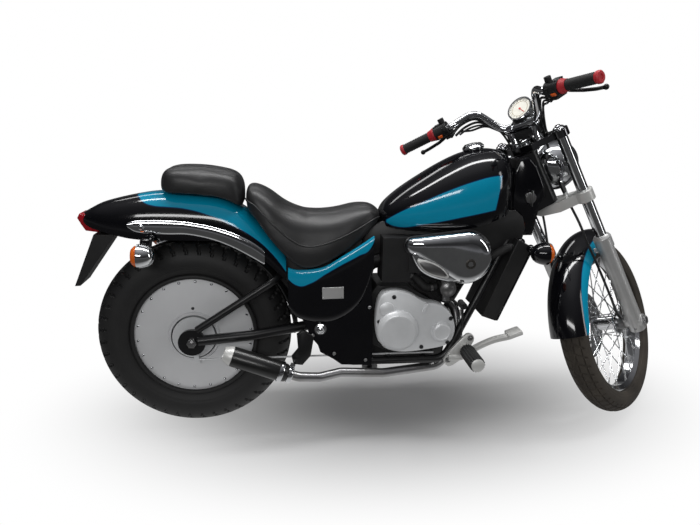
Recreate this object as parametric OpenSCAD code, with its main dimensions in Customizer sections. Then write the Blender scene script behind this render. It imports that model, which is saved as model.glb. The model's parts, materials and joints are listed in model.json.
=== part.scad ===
// Small cruiser motorcycle, parked on its side stand with the steering on its left stop.
// The chassis is drawn upright: X forward from the rear axle, Y to the rider's left, Z up.
// The fork is drawn on the steering axis, and the whole machine is then leaned over.

/* [Stance] */
// Lean towards the side stand, in degrees
lean = 8.4; // [6:0.1:11]
// Steering angle at the left stop, in degrees
steer_lock = 45; // [35:1:48]
// Distance between the wheel axles, steering straight
wheelbase = 1427; // [1415:1:1450]
// Angle of the steering axis from upright, in degrees
rake = 28.3; // [27:0.1:30]
// Distance of the front axle ahead of the steering axis
fork_offset = 38; // [34:1:44]

/* [Wheels] */
// Outer radius of the rear tyre
rear_r = 307; // [302:1:310]
// Width of the rear tyre
rear_w = 130; // [120:1:134]
// Radius of the rear rim at the tyre's bead
rear_rim_r = 200; // [195:1:204]
// Outer radius of the front tyre
front_r = 305; // [300:1:308]
// Width of the front tyre
front_w = 88; // [80:1:92]
// Radius of the front rim at the tyre's bead
front_rim_r = 238; // [234:1:240]
// Radius of each axle
axle_r = 8; // [7:0.5:9]
// Number of wire spokes in the front wheel
spoke_count = 36; // [28:4:36]
// Radius of a wire spoke
spoke_r = 1.8; // [1.5:0.1:2.2]
// Radius of the rear brake drum's opening
drum_r = 72; // [68:1:76]
// Radius of the front brake disc
disc_r = 120; // [110:1:125]

/* [Fork] */
// Distance from the steering axis to the centre of each fork leg
fork_half = 102; // [98:1:106]
// Radius of the fork's upper tubes
stanchion_r = 18; // [16:0.5:19]
// Radius of the fork's lower sliders
slider_r = 26; // [24:0.5:28]
// Height of the slider's top above the axle, along the fork
slider_top = 322; // [300:1:340]
// Height of the lower yoke's middle above the axle
lower_yoke_z = 490; // [480:1:495]
// Height of the top yoke's middle above the axle
top_yoke_z = 711; // [705:1:720]
// Radius of the steering stem
stem_r = 14; // [12:0.5:15]
// Radius of the handlebar tube
bar_r = 11; // [11:0.5:12.7]
// Distance from the middle of the bars to the end of a grip
bar_half = 340; // [325:1:355]
// Radius of a grip
grip_r = 16.5; // [15:0.5:18]
// Radius of the headlamp's rim
headlamp_r = 84; // [78:1:90]
// Radius of the speedometer
speedo_r = 42; // [38:1:46]
// Radius of the threaded hole for a mirror
mirror_hole_r = 4; // [4:0.5:5]

/* [Body] */
// Greatest half width of the fuel tank
tank_half = 134; // [126:1:140]
// Half width of the rider's seat
seat_half = 128; // [120:1:134]
// Half width of the pillion pad
pillion_half = 98; // [90:1:104]
// Half width of the rear fender
fender_half = 96; // [92:1:98]
// Wall of the fenders
fender_wall = 4; // [3:0.5:5]
// Distance from the middle to the outer face of a side cover
cover_out = 132; // [128:1:136]

/* [Frame and engine] */
// Radius of the cradle tubes
cradle_r = 13; // [11:0.5:14]
// Half the distance between the cradle's lower rails
cradle_half = 105; // [102:1:108]
// Radius of the steering head
head_r = 27; // [24:0.5:30]
// Half width of the swingarm at its legs
swing_half = 108; // [106:1:112]
// Radius of the swingarm's tubes
swing_r = 12; // [10:0.5:13]
// Half width of the crankcase
case_half = 92; // [88:1:94]
// Radius of the clutch cover's round face
clutch_r = 63; // [58:1:66]
// Radius of the silencer
muffler_r = 31; // [28:1:33]
// Radius of the exhaust pipe
exhaust_r = 15; // [13:0.5:17]
// Distance from the middle to the end of a footpeg
peg_reach = 280; // [265:1:290]
// Radius of the side stand's leg
stand_r = 10; // [9:0.5:11]
// Thickness of the side stand's foot
stand_foot_t = 8; // [6:0.5:10]

/* [Hidden] */
$fn = 48;
SIDES = [-1, 1];
// Gap between pieces that seat on each other, and around what turns
seat_gap = 0.3;
run_gap = 5;
bearing_gap = 0.05;

// Vectors, rings and sweeps
function unit(v) = v / norm(v);
function aim(d) = [0, acos(d[2]), atan2(d[1], d[0])];
function rot_x(a) = [[1, 0, 0], [0, cos(a), -sin(a)], [0, sin(a), cos(a)]];
function rot_y(a) = [[cos(a), 0, sin(a)], [0, 1, 0], [-sin(a), 0, cos(a)]];
function rot_z(a) = [[cos(a), -sin(a), 0], [sin(a), cos(a), 0], [0, 0, 1]];
function power(v, e) = sign(v) * pow(abs(v), e);
function flip(p, s) = [for (q = p) [q[0], s * q[1], q[2]]];

// Turning angle of a path at point i, and the corner there as an arc
function bend_angle(p, i) = acos(max(-1, min(1, unit(p[i] - p[i - 1]) * unit(p[i + 1] - p[i]))));
function corner(p, i, bend, steps) =
  let(d1 = unit(p[i] - p[i - 1]), d2 = unit(p[i + 1] - p[i]), a = bend_angle(p, i))
  a < 2 ? [p[i]] :
  let(m = unit(d2 - (d2 * d1) * d1), s = p[i] - d1 * bend * tan(a / 2), c = s + m * bend)
  [for (k = [0 : steps]) let(t = a * k / steps) c + bend * (d1 * sin(t) - m * cos(t))];
function rounded(p, bend, steps = 5) = [p[0],
  for (i = [1 : 1 : len(p) - 2]) each corner(p, i, bend, steps), p[len(p) - 1]];
function headings(q) = let(m = len(q) - 1)
  [for (i = [0 : m]) unit(unit(q[min(i + 1, m)] - q[min(i, m - 1)]) + unit(q[max(i, 1)] - q[max(i - 1, 0)]))];
function carried(t, f, i = 0) = i == len(t) ? [] :
  let(g = unit(f - (f * t[i]) * t[i])) concat([g], carried(t, g, i + 1));
function first_normal(t) = unit(cross(t, abs(t[2]) < 0.9 ? [0, 0, 1] : [0, 1, 0]));

// A closed skin through rings of equal counts; arch rings are closed by strips, plain ones by fans
module skin(rings, arch = false) {
  n = len(rings[0]);
  last = (len(rings) - 1) * n;
  half = n / 2 - 1;
  sides = [for (i = [0 : len(rings) - 2], j = [0 : n - 1]) let(k = (j + 1) % n)
    each [[i * n + j, i * n + k, (i + 1) * n + k], [i * n + j, (i + 1) * n + k, (i + 1) * n + j]]];
  fan = arch
    ? [for (i = [0 : half - 1]) each [[i, n - 1 - i, n - 2 - i], [i, n - 2 - i, i + 1]]]
    : [for (j = [1 : n - 2]) [0, j + 1, j]];
  caps = concat(fan, [for (f = fan) [last + f[0], last + f[2], last + f[1]]]);
  polyhedron([for (r = rings) each r], concat(sides, caps));
}

// A round tube swept along a path whose corners are rounded
module tube(p, r, bend = 40, sides = 12, steps = 5) {
  q = rounded(p, bend, steps);
  t = headings(q);
  f = carried(t, first_normal(t[0]));
  skin([for (i = [0 : len(q) - 1]) let(g = cross(t[i], f[i]))
    [for (k = [0 : sides - 1]) let(a = -360 * k / sides) q[i] + r * (f[i] * cos(a) + g * sin(a))]]);
}

module rod(a, b, r, r2 = -1) {
  translate(a) rotate(aim(unit(b - a))) cylinder(h = norm(b - a), r1 = r, r2 = r2 < 0 ? r : r2);
}
// A disc across Y, from y0 to y1
module across(x, z, r, y0, y1) { translate([x, y0, z]) rotate([-90, 0, 0]) cylinder(h = y1 - y0, r = r); }
// A side outline in X and Z, from y0 to y1
module plate(points, y0, y1) {
  translate([0, y1, 0]) rotate([90, 0, 0]) linear_extrude(y1 - y0) polygon(points);
}

// Half of a rounded arch, from one edge over the top to the other; tuck turns the edges in
function arch_line(half_w, z_edge, z_top, e, tuck, n) =
  let(h = (z_top - z_edge) / (1 + power(sin(tuck), e)), z0 = z_edge + h * power(sin(tuck), e))
  [for (i = [0 : n]) let(a = -tuck + (180 + 2 * tuck) * i / n)
    [half_w * power(cos(a), e), z0 + h * power(sin(a), e)]];
// A ring across X: the outer arch and an inner one below it
function arch_ring(x, half_w, z_edge, z_top, in_w, in_top, e = 0.75, tuck = 0, n = 14) =
  let(outer = arch_line(half_w, z_edge, z_top, e, tuck, n), inner = arch_line(in_w, z_edge, in_top, 1, 0, n))
  concat([for (i = [0 : n]) [x, outer[i][0], outer[i][1]]],
    [for (i = [0 : n]) [x, inner[n - i][0], inner[n - i][1]]]);

// Steering frame: its X is ahead of the axis, its Z is up along it from axle height
ahead = [cos(rake), 0, sin(rake)];
axis_up = [-sin(rake), 0, cos(rake)];
axis_foot = [wheelbase, 0, front_r] - fork_offset * ahead;
function on_fork(p) = axis_foot + rot_y(-rake) * rot_z(steer_lock) * p;
module on_steering() { translate(axis_foot) rotate([0, -rake, 0]) rotate([0, 0, steer_lock]) children(); }

// Rearmost point of the number plate's bracket
plate_tip = [-353, 0, 473];

// Side stand: its hinge leans, so that the leg folds up along the left rail
stand_axis = unit([0.11, 0.87, 0.48]);
stand_out = 34;
stand_eye_t = 22;
stand_reach = [46, 100];

// Place of the footpegs, which reach furthest out to each side
peg_at = [858, 283];

// Parked pose: lean, then the small pitch that puts both tyres on the ground
rear_crown = rear_w / 2;
front_crown = front_w / 2;
lift = rear_crown * (1 - cos(lean));
function tilted(p, pitch) = rot_y(pitch) * (rot_x(-lean) * p + [0, 0, lift]);
function tyre_low(centre, axle, r, crown, pitch) =
  let(n = rot_y(pitch) * rot_x(-lean) * axle)
  tilted(centre, pitch)[2] - (r - crown) * sqrt(1 - n[2] * n[2]) - crown;
front_centre = on_fork([fork_offset, 0, 0]);
front_axle_dir = rot_y(-rake) * rot_z(steer_lock) * [0, 1, 0];
function settled(pitch, turns) = turns == 0 ? pitch :
  settled(pitch + atan((tyre_low(front_centre, front_axle_dir, front_r, front_crown, pitch)
    - tyre_low([0, 0, rear_r], [0, 1, 0], rear_r, rear_crown, pitch)) / wheelbase), turns - 1);
pitch = settled(0, 4);
ground = tyre_low([0, 0, rear_r], [0, 1, 0], rear_r, rear_crown, pitch);
// The origin is under the middle of the machine's box
front_reach = let(n = rot_y(pitch) * rot_x(-lean) * front_axle_dir)
  tilted(front_centre, pitch)[0] + (front_r - front_crown) * sqrt(1 - n[0] * n[0]) + front_crown;
rear_reach = tilted([plate_tip[0], 0, plate_tip[2]], pitch)[0];
middle_x = (front_reach + rear_reach) / 2;
middle_y = tilted([peg_at[0], 0, peg_at[1]], pitch)[1];
function parked(p) = tilted(p, pitch) - [middle_x, middle_y, ground];
module park() {
  translate([-middle_x, -middle_y, -ground]) rotate([0, pitch, 0]) translate([0, 0, lift]) rotate([-lean, 0, 0])
    children();
}

// Rear wheel
rear_axle_z = rear_r;
rim_half = 48;
hub_half = 62;
module at_rear_axle() { translate([0, 0, rear_axle_z]) rotate([90, 0, 0]) children(); }
// A round section with beads that reach down to the rim
module tyre(r, w, rim_r, bead_half) {
  rotate_extrude($fn = 96) difference() {
    union() {
      translate([r - w / 2, 0]) circle(w / 2);
      translate([rim_r, -bead_half]) square([max(r - w / 2 - rim_r, 0.1), 2 * bead_half]);
    }
    translate([0, -w]) square([rim_r, 2 * w]);
  }
}
module rear_tyre() {
  color("#1b1b1c") park() at_rear_axle() tyre(rear_r, rear_w, rear_rim_r + seat_gap, rim_half);
}
module rear_wheel() {
  color("#b9bdc1") park() at_rear_axle() difference() {
    rotate_extrude($fn = 96) polygon([[axle_r + bearing_gap, -hub_half], [drum_r + 6, -hub_half],
      [drum_r + 10, -rim_half - 6], [rear_rim_r - 12, -rim_half + 4], [rear_rim_r - 8, -rim_half - 6],
      [rear_rim_r, -rim_half - 6], [rear_rim_r, rim_half + 6], [rear_rim_r - 8, rim_half + 6],
      [rear_rim_r - 12, rim_half - 4], [drum_r + 10, rim_half + 6], [drum_r + 6, hub_half],
      [axle_r + bearing_gap, hub_half]]);
    // The brake drum opens to the right
    translate([0, 0, hub_half - 34]) cylinder(h = 40, r = drum_r);
  }
}
sprocket_teeth = 44;
chain_pitch = 12.7;
chain_y = 84;
function sprocket_r(teeth) = chain_pitch / (2 * sin(180 / teeth));
rear_sprocket_r = sprocket_r(sprocket_teeth);
module rear_sprocket() {
  color("#6d7074") park() at_rear_axle() translate([0, 0, -chain_y - 2.5]) difference() {
    union() {
      cylinder(h = 5, r = rear_sprocket_r - 5);
      cylinder(h = chain_y - hub_half + 2.5 - seat_gap, r = 40);
    }
    translate([0, 0, -1]) cylinder(h = 60, r = axle_r + bearing_gap);
    for (a = [0 : 60 : 300]) rotate(a) translate([62, 0, -1]) cylinder(h = 8, r = 12);
  }
}

// Front wheel, drawn about its axle on the steering frame
front_rim_half = 27;
flange_r = 34;
front_hub_half = 52;
module at_front_axle() { on_steering() translate([fork_offset, 0, 0]) rotate([90, 0, 0]) children(); }
module front_tyre() {
  color("#1b1b1c") park() at_front_axle() tyre(front_r, front_w, front_rim_r + seat_gap, front_rim_half);
}
module spoke(i) {
  // Columns: side of the hub, lean of the spoke round the wheel
  side = i % 2 == 0 ? 1 : -1;
  lacing = floor(i / 2) % 2 == 0 ? 1 : -1;
  a = 360 * i / spoke_count;
  from = [flange_r * cos(a), flange_r * sin(a), side * (front_hub_half - 8 - 2.4 * lacing)];
  b = a + lacing * 62;
  to = [(front_rim_r - 16) * cos(b), (front_rim_r - 16) * sin(b), side * 6];
  rod(from, to, spoke_r, $fn = 16);
}
module front_wheel() {
  color("#c9ccd0") park() at_front_axle() {
    difference() {
      union() {
        rotate_extrude($fn = 96) polygon([[front_rim_r - 20, -16], [front_rim_r - 6, -front_rim_half],
          [front_rim_r, -front_rim_half], [front_rim_r, front_rim_half], [front_rim_r - 6, front_rim_half],
          [front_rim_r - 20, 16]]);
        rotate_extrude() polygon([[axle_r + bearing_gap, -front_hub_half], [flange_r - 8, -front_hub_half],
          [flange_r + 6, -front_hub_half + 3], [flange_r + 6, -front_hub_half + 13], [24, -front_hub_half + 18],
          [24, front_hub_half - 18], [flange_r + 6, front_hub_half - 13], [flange_r + 6, front_hub_half - 3],
          [flange_r - 8, front_hub_half], [axle_r + bearing_gap, front_hub_half]]);
        for (i = [0 : spoke_count - 1]) spoke(i);
      }
    }
  }
}
disc_y = 66;
module brake_disc() {
  color("#9a9da1") park() at_front_axle() translate([0, 0, -disc_y - 2]) difference() {
    union() {
      cylinder(h = 4, r = disc_r);
      cylinder(h = disc_y + 2 - front_hub_half - seat_gap, r = flange_r);
    }
    translate([0, 0, -1]) cylinder(h = 40, r = axle_r + bearing_gap);
    for (a = [0 : 60 : 300], k = [0, 1]) rotate(a + 30 * k) translate([disc_r - 44 + 20 * k, 0, -1])
      cylinder(h = 6, r = 9 - 3 * k, $fn = 24);
  }
}

// Fork and bars, drawn on the steering frame
module steered() { park() on_steering() children(); }
yoke_t = 34;
top_yoke_t = 22;
slider_foot = -32;
drive_r = 25;
axle_half = 136;
module leg_holes(r, z0, z1) {
  for (s = SIDES) translate([fork_offset, s * fork_half, z0]) cylinder(h = z1 - z0, r = r);
}
module yoke_plate(leg_r, back, z, t) {
  translate([0, 0, z - t / 2]) {
    linear_extrude(t) polygon([[-back, -34], [-back, 34], [fork_offset - 10, fork_half],
      [fork_offset + 20, fork_half], [fork_offset + 8, 40], [fork_offset + 8, -40],
      [fork_offset + 20, -fork_half], [fork_offset - 10, -fork_half]]);
    for (s = SIDES) translate([fork_offset, s * fork_half, -1]) cylinder(h = t + 2, r = leg_r);
  }
}
module lower_yoke() {
  color("#c3c6c8") steered() {
    difference() {
      yoke_plate(stanchion_r + 11, stem_r + 8, lower_yoke_z, yoke_t);
      leg_holes(stanchion_r + bearing_gap, lower_yoke_z - yoke_t, lower_yoke_z + yoke_t);
    }
    translate([0, 0, lower_yoke_z]) cylinder(h = top_yoke_z + top_yoke_t / 2 - lower_yoke_z + 10, r = stem_r);
  }
}
module top_yoke() {
  color("#54575b") steered() difference() {
    yoke_plate(stanchion_r + 9, stem_r + 20, top_yoke_z, top_yoke_t);
    leg_holes(stanchion_r + bearing_gap, top_yoke_z - yoke_t, top_yoke_z + yoke_t);
    translate([0, 0, top_yoke_z - yoke_t]) cylinder(h = 2 * yoke_t, r = stem_r + bearing_gap);
  }
}
module stanchions() {
  color("#a9adb1") steered()
    for (s = SIDES) translate([fork_offset, s * fork_half, 80])
      cylinder(h = top_yoke_z + top_yoke_t / 2 + 4 - 80, r = stanchion_r);
}
boss_z = 290;
module sliders() {
  color("#8f9397") steered() for (s = SIDES) translate([fork_offset, s * fork_half, 0]) difference() {
    union() {
      translate([0, 0, slider_foot]) cylinder(h = slider_top - slider_foot, r = slider_r);
      translate([0, 0, slider_top - 26]) cylinder(h = 30, r = slider_r + 3);
      rotate([90, 0, 0]) translate([0, 0, -slider_r - 3]) cylinder(h = 2 * slider_r + 6, r = 22);
      // Boss that carries the front fender
      rod([-6, 0, boss_z], [-6, -s * (fork_half - front_fender_half - seat_gap), boss_z], 9);
    }
    translate([0, 0, 60]) cylinder(h = slider_top, r = stanchion_r + bearing_gap);
    rotate([90, 0, 0]) translate([0, 0, -60]) cylinder(h = 120, r = axle_r + bearing_gap);
  }
}
module front_axle() {
  color("#7d8185") steered() translate([fork_offset, 0, 0]) rotate([90, 0, 0]) {
    translate([0, 0, -axle_half]) cylinder(h = 2 * axle_half, r = axle_r);
    for (s = SIDES) translate([0, 0, s * (fork_half + slider_r + 3 + seat_gap + 5) - 5])
      cylinder(h = 10, r = 15, $fn = 6);
    translate([0, 0, -fork_half + slider_r + 3 + seat_gap]) cylinder(h = 4, r = 14);
    // Speedometer drive on the right
    translate([0, 0, front_hub_half + seat_gap])
      cylinder(h = fork_half - slider_r - 3 - front_hub_half - 2 * seat_gap, r = drive_r);
  }
}

// Front fender: gap over the tyre, depth of its sides, and the arc that it covers
fender_clear = 31;
fender_depth = 64;
front_fender_half = 66;
front_fender_r = front_r + fender_clear + fender_wall;
fender_low_r = front_fender_r - fender_depth;
fender_from = 62;
fender_to = 154;
module fender_profile(half_w, r, low_r) {
  translate([r - half_w, 0]) circle(half_w);
  translate([low_r, -half_w]) square([max(r - half_w - low_r, 0.1), 2 * half_w]);
}
module front_fender() {
  color("#0d0d0f") park() at_front_axle()
    rotate_extrude(angle = fender_to - fender_from, start = fender_from, $fn = 120) difference() {
      fender_profile(front_fender_half, front_fender_r, fender_low_r);
      fender_profile(front_fender_half - fender_wall, front_fender_r - fender_wall, fender_low_r - 1);
      translate([0, -front_fender_r]) square([fender_low_r, 2 * front_fender_r]);
    }
}

lamp_at = [128, 0, 590];
lamp_depth = 96;
lens_dome = 14;
module on_lamp() { translate(lamp_at) rotate([0, 90 + rake, 0]) children(); }
module headlamp() {
  color("#c9ccd0") steered() {
    on_lamp() rotate_extrude() polygon([[0, -lamp_depth], [headlamp_r * 0.42, -lamp_depth + 8],
      [headlamp_r * 0.74, -lamp_depth + 34], [headlamp_r * 0.94, -30], [headlamp_r - 3, -8], [headlamp_r, -8],
      [headlamp_r, 10], [headlamp_r - 7, 10], [headlamp_r - 7, 0], [0, 0]]);
    // Ears that hold the lamp on the lower yoke
    for (s = SIDES) tube([[lamp_at[0] - 40, s * 46, lamp_at[2] + 2], [fork_offset - 2, s * 46, 556],
      [fork_offset - 2, s * 46, lower_yoke_z + yoke_t / 2 + seat_gap]], 7, 14, 8, 3);
  }
}
module headlamp_lens() {
  lens_r = headlamp_r - 7 - seat_gap;
  color("#dfe6ea") steered() on_lamp() rotate_extrude() polygon([[0, seat_gap], [lens_r, seat_gap], [lens_r, 6],
    for (i = [1 : 6]) [lens_r * cos(15 * i), 6 + lens_dome * sin(15 * i)]]);
}

speedo_at = [58, 0, 822];
speedo_tilt = 38;
module speedometer() {
  color("#c9ccd0") steered() {
    translate(speedo_at) rotate([0, -speedo_tilt, 0]) rotate_extrude() polygon([[0, -44], [speedo_r * 0.5, -42],
      [speedo_r - 4, -24], [speedo_r, -14], [speedo_r, 4], [speedo_r - 5, 4], [speedo_r - 5, 0], [0, 0]]);
    rod([fork_offset + 8, 0, top_yoke_z + top_yoke_t / 2 + seat_gap], speedo_at + [14, 0, -26], 9);
  }
}

// Bars: the left half from the riser out; the right half is its mirror
grip_in = [-109, 218, 871];
grip_out = [-148, bar_half, 865];
grip_dir = unit(grip_out - grip_in);
riser_y = 52;
bar_half_path = [[22, riser_y + 8, 775], [-26, 106, 880], grip_in - 66 * grip_dir, grip_out - 6 * grip_dir];
bar_path = concat([for (i = [3 : -1 : 0]) flip([bar_half_path[i]], -1)[0]], bar_half_path);
module handlebar() {
  color("#c9ccd0") steered() {
    tube(bar_path, bar_r, 42, 16, 6);
    for (s = SIDES) translate([22, s * 40, top_yoke_z + top_yoke_t / 2 + seat_gap])
      cylinder(h = 775 - top_yoke_z - top_yoke_t / 2, r = 14);
  }
}
// A grip's own frame: Z out along the grip, -X up, -Y ahead
module on_grip(s) {
  mirror([0, s < 0 ? 1 : 0, 0]) translate(grip_in) rotate(aim(grip_dir)) children();
}
module grips() {
  color("#1c1c1d") steered() for (s = SIDES) on_grip(s) difference() {
    union() {
      cylinder(h = norm(grip_out - grip_in), r = grip_r);
      cylinder(h = 9, r = grip_r + 5);
      translate([0, 0, norm(grip_out - grip_in) - 12]) cylinder(h = 12, r = grip_r + 1.5);
    }
    translate([0, 0, -1]) cylinder(h = norm(grip_out - grip_in) - 4, r = bar_r + seat_gap);
  }
}
housing_l = 46;
housing_r = 23;
mirror_boss_h = 14;
lever_drop = 26;
lever_ahead = 50;
lever_r = 5.5;
module switch_housings() {
  color("#161617") steered() for (s = SIDES) on_grip(s) difference() {
    union() {
      translate([0, 0, -housing_l - seat_gap]) cylinder(h = housing_l, r = housing_r);
      translate([2, -lever_ahead + 6, -housing_l - seat_gap]) cube([32, lever_ahead - 6, 22]);
    }
    translate([0, 0, -housing_l - 10]) cylinder(h = housing_l + 20, r = bar_r + seat_gap);
  }
}
// Threaded bosses for mirrors, on top of the housings
module mirror_bosses() {
  color("#161617") steered() for (s = SIDES) on_grip(s)
    translate([-housing_r - seat_gap, 0, -housing_l + 11]) rotate([0, -90, 0]) difference() {
      cylinder(h = mirror_boss_h, r = 10);
      translate([0, 0, -1]) cylinder(h = mirror_boss_h + 2, r = mirror_hole_r);
    }
}
module levers() {
  color("#141415") steered() for (s = SIDES) on_grip(s) {
    tube([[lever_drop - 6, -lever_ahead + 6 - lever_r - seat_gap, -housing_l + 2],
      [lever_drop + 4, -lever_ahead - 2, -housing_l + 30], [lever_drop + 14, -lever_ahead - 8, 20],
      [lever_drop + 18, -lever_ahead - 6, 60], [lever_drop + 20, -lever_ahead - 12, 84]], lever_r, 12, 10, 3);
  }
}
caliper_turn = 128;
module brake_caliper() {
  color("#2a2b2d") steered() translate([fork_offset, 0, 0]) {
    difference() {
      union() {
        rotate([0, -caliper_turn, 0]) translate([disc_r - 26, disc_y - 26, -34]) cube([52, 50, 68]);
        // Lug that bolts it to the left slider
        plate([[-66, 60], [-66, 116], [0, 96], [0, 40]], disc_y + 9, disc_y + 21);
      }
      rotate([90, 0, 0]) translate([0, 0, -disc_y - 5]) cylinder(h = 10, r = disc_r + run_gap);
      translate([0, fork_half, -40]) cylinder(h = slider_top, r = slider_r + seat_gap);
    }
  }
}
// Control cables end at guides in the top yoke and at the front hub
cable_r = 3.5;
yoke_top = top_yoke_z + top_yoke_t / 2 + seat_gap;
clutch_cable = [[-62, 160, 842], [-30, 140, 800], [36, 78, 790], [30, 68, yoke_top + 18],
  [30, 68, yoke_top + seat_gap]];
throttle_cable = flip(clutch_cable, -1);
speedo_back = speedo_at - (44 + seat_gap) * [-sin(speedo_tilt), 0, cos(speedo_tilt)];
// The speedometer cable runs down behind the right leg into the drive at the hub
drive_in = unit([-10.5, 0, 24.5]);
hub_drive = [fork_offset, -63, 0];
speedo_cable = [speedo_back, speedo_back + 22 * [sin(speedo_tilt), 0, -cos(speedo_tilt)], [72, -64, 711],
  [62, -70, 600], [62, -72, 452], [6, -74, 330], [-10, -80, 250], [-18, -80, 130], hub_drive + 62 * drive_in,
  hub_drive + (drive_r + seat_gap) * drive_in];
module cables() {
  color("#121213") steered() {
    tube(clutch_cable, cable_r, 20, 8, 3);
    tube(throttle_cable, cable_r, 20, 8, 3);
    tube(speedo_cable, cable_r, 20, 8, 3);
  }
}

// Chassis, drawn upright
pivot = [396, 0, 351];
pivot_bolt_r = 9;
rail_z = 232;
neck_half = 40;
head_low = lower_yoke_z + yoke_t / 2 + 1;
head_high = top_yoke_z - top_yoke_t / 2 - 1;
stand_rail = [560, cradle_half, rail_z];
stand_pivot = stand_rail + stand_out * stand_axis;
function on_head(z) = axis_foot + z * axis_up;
// X of the steering head's foot, which the neck and the front ends of the tubes follow
neck_x = wheelbase - 274;
function cradle(s) = [[neck_x - 113, s * 34, 690], [897, s * 92, 430], [800, s * cradle_half, rail_z + 4],
  [480, s * cradle_half, rail_z], [pivot[0] - 6, s * cradle_half, pivot[2] - 10],
  [370, s * (cradle_half - 1), 412], [318, s * 38, 546]];
backbone_r = 16;
backbone = [[neck_x - 113, 0, 782], [860, 0, 712], [560, 0, 606], [430, 0, 556]];
function backbone_top(x) = lookup(x, [for (p = backbone) [p[0], p[2]]]) + backbone_r * 1.08;
function tail_rail(s) = [[540, s * 14, 600], [340, s * 36, 545], [270, s * 36, 556], [190, s * 40, 620],
  [60, s * 44, 690], [-150, s * 44, 700]];
// Side outline of the neck: along the steering head, then back under the tank
neck_front = [on_head(head_high - 4), on_head(head_low + 4), on_head(head_low + 4) - 58 * ahead];
neck_outline = concat([for (p = neck_front) [p[0], p[2]]],
  [[neck_x - 67, 632], [neck_x - 113, 632], [neck_x - 147, 720], [neck_x - 139, 872]]);
module frame() {
  color("#0f0f11") park() difference() {
    union() {
      for (s = SIDES) {
        tube(cradle(s), cradle_r, 55, 10, 4);
        tube(tail_rail(s), 10, 50, 8, 3);
      }
      tube(backbone, backbone_r, 60, 10, 3);
      for (x = [620, 740]) across(x, rail_z, 9, -cradle_half, cradle_half);
      // Cross bars and posts that carry the rear fender
      for (x = [-95, 0]) {
        across(x, 696, 8, -44, 44);
        rod([x, 0, 690], [x, 0, fender_top(x) - fender_wall - 0.8], 3, $fn = 24);
      }
      // Boss of the side stand's hinge
      rod(stand_rail, stand_rail + (stand_out - stand_eye_t / 2 - seat_gap) * stand_axis, 12);
      plate(neck_outline, -neck_half, neck_half);
      rod(on_head(head_low), on_head(head_high), head_r);
    }
    rod(on_head(head_low - 10), on_head(head_high + 10), stem_r + bearing_gap, $fn = 96);
    for (s = SIDES)
      across(pivot[0], pivot[2], pivot_bolt_r + bearing_gap, s * cradle_half - 30, s * cradle_half + 30);
  }
}
// Lock in the right side of the neck, with its key
lock_at = [1066, 755];
lock_r = 17;
lock_t = 16;
key_t = 3;
module ignition_lock() {
  color("#3a3c3f") park() {
    across(lock_at[0], lock_at[1], lock_r, -neck_half - lock_t, -neck_half - seat_gap);
    translate([lock_at[0] - key_t / 2, -neck_half - lock_t - 14, lock_at[1] - 25]) cube([key_t, 14, 50]);
  }
}
module rear_axle() {
  color("#7d8185") park() {
    across(0, rear_axle_z, axle_r, -132, 132);
    for (s = SIDES) translate([0, s * (swing_half + 6 + seat_gap + 5), rear_axle_z]) rotate([90, 0, 0])
      cylinder(h = 10, r = 15, $fn = 6, center = true);
    across(0, rear_axle_z, 16, chain_y + 2.5 + seat_gap, swing_half - 6 - seat_gap);
    across(pivot[0], pivot[2], pivot_bolt_r, -cradle_half - 22, cradle_half + 22);
    for (s = SIDES) across(pivot[0], pivot[2], 18, s * (cradle_half + 18) - 4, s * (cradle_half + 18) + 4);
  }
}
swing_pivot_half = 78;
function swing_leg(s) = [[20, s * swing_half, rear_axle_z + 4], [180, s * swing_half, 327], [290, s * 92, 340],
  [pivot[0] - 6, s * (swing_pivot_half - 4), pivot[2]]];
swing_brace = [[16, swing_half, 346], [255, swing_half - 4, 503], [276, 56, 512], [276, -56, 512],
  [255, -swing_half + 4, 503], [16, -swing_half, 346]];
module swingarm() {
  color("#111113") park() difference() {
    union() {
      for (s = SIDES) {
        tube(swing_leg(s), swing_r + 4, 60, 10, 3);
        tube([[270, s * 50, 508], [pivot[0] - 4, s * 60, pivot[2] + 4]], swing_r, 10, 10);
        translate([0, s * swing_half, rear_axle_z]) rotate([90, 0, 0]) cylinder(h = 12, r = 42, center = true);
      }
      tube(swing_brace, swing_r, 34, 10, 3);
      across(pivot[0], pivot[2], 20, -swing_pivot_half, swing_pivot_half);
    }
    across(0, rear_axle_z, axle_r + bearing_gap, -150, 150);
    across(pivot[0], pivot[2], pivot_bolt_r + bearing_gap, -150, 150);
  }
}

// Chain loop round both sprockets
front_teeth = 13;
front_sprocket = [560, 352];
front_sprocket_r = sprocket_r(front_teeth);
chain_gap = front_sprocket - [0, rear_axle_z];
chain_slope = atan2(chain_gap[1], chain_gap[0]);
chain_wrap = acos((rear_sprocket_r - front_sprocket_r) / norm(chain_gap));
function chain_loop(d) = concat(
  [for (i = [0 : 24]) let(a = chain_slope + chain_wrap + (360 - 2 * chain_wrap) * i / 24)
    [0, rear_axle_z] + (rear_sprocket_r + d) * [cos(a), sin(a)]],
  [for (i = [0 : 10]) let(a = chain_slope - chain_wrap + 2 * chain_wrap * i / 10)
    front_sprocket + (front_sprocket_r + d) * [cos(a), sin(a)]]);
module chain() {
  color("#55575a") park() difference() {
    plate(chain_loop(5), chain_y - 6, chain_y + 6);
    plate(chain_loop(-4), chain_y - 10, chain_y + 10);
  }
}

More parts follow.
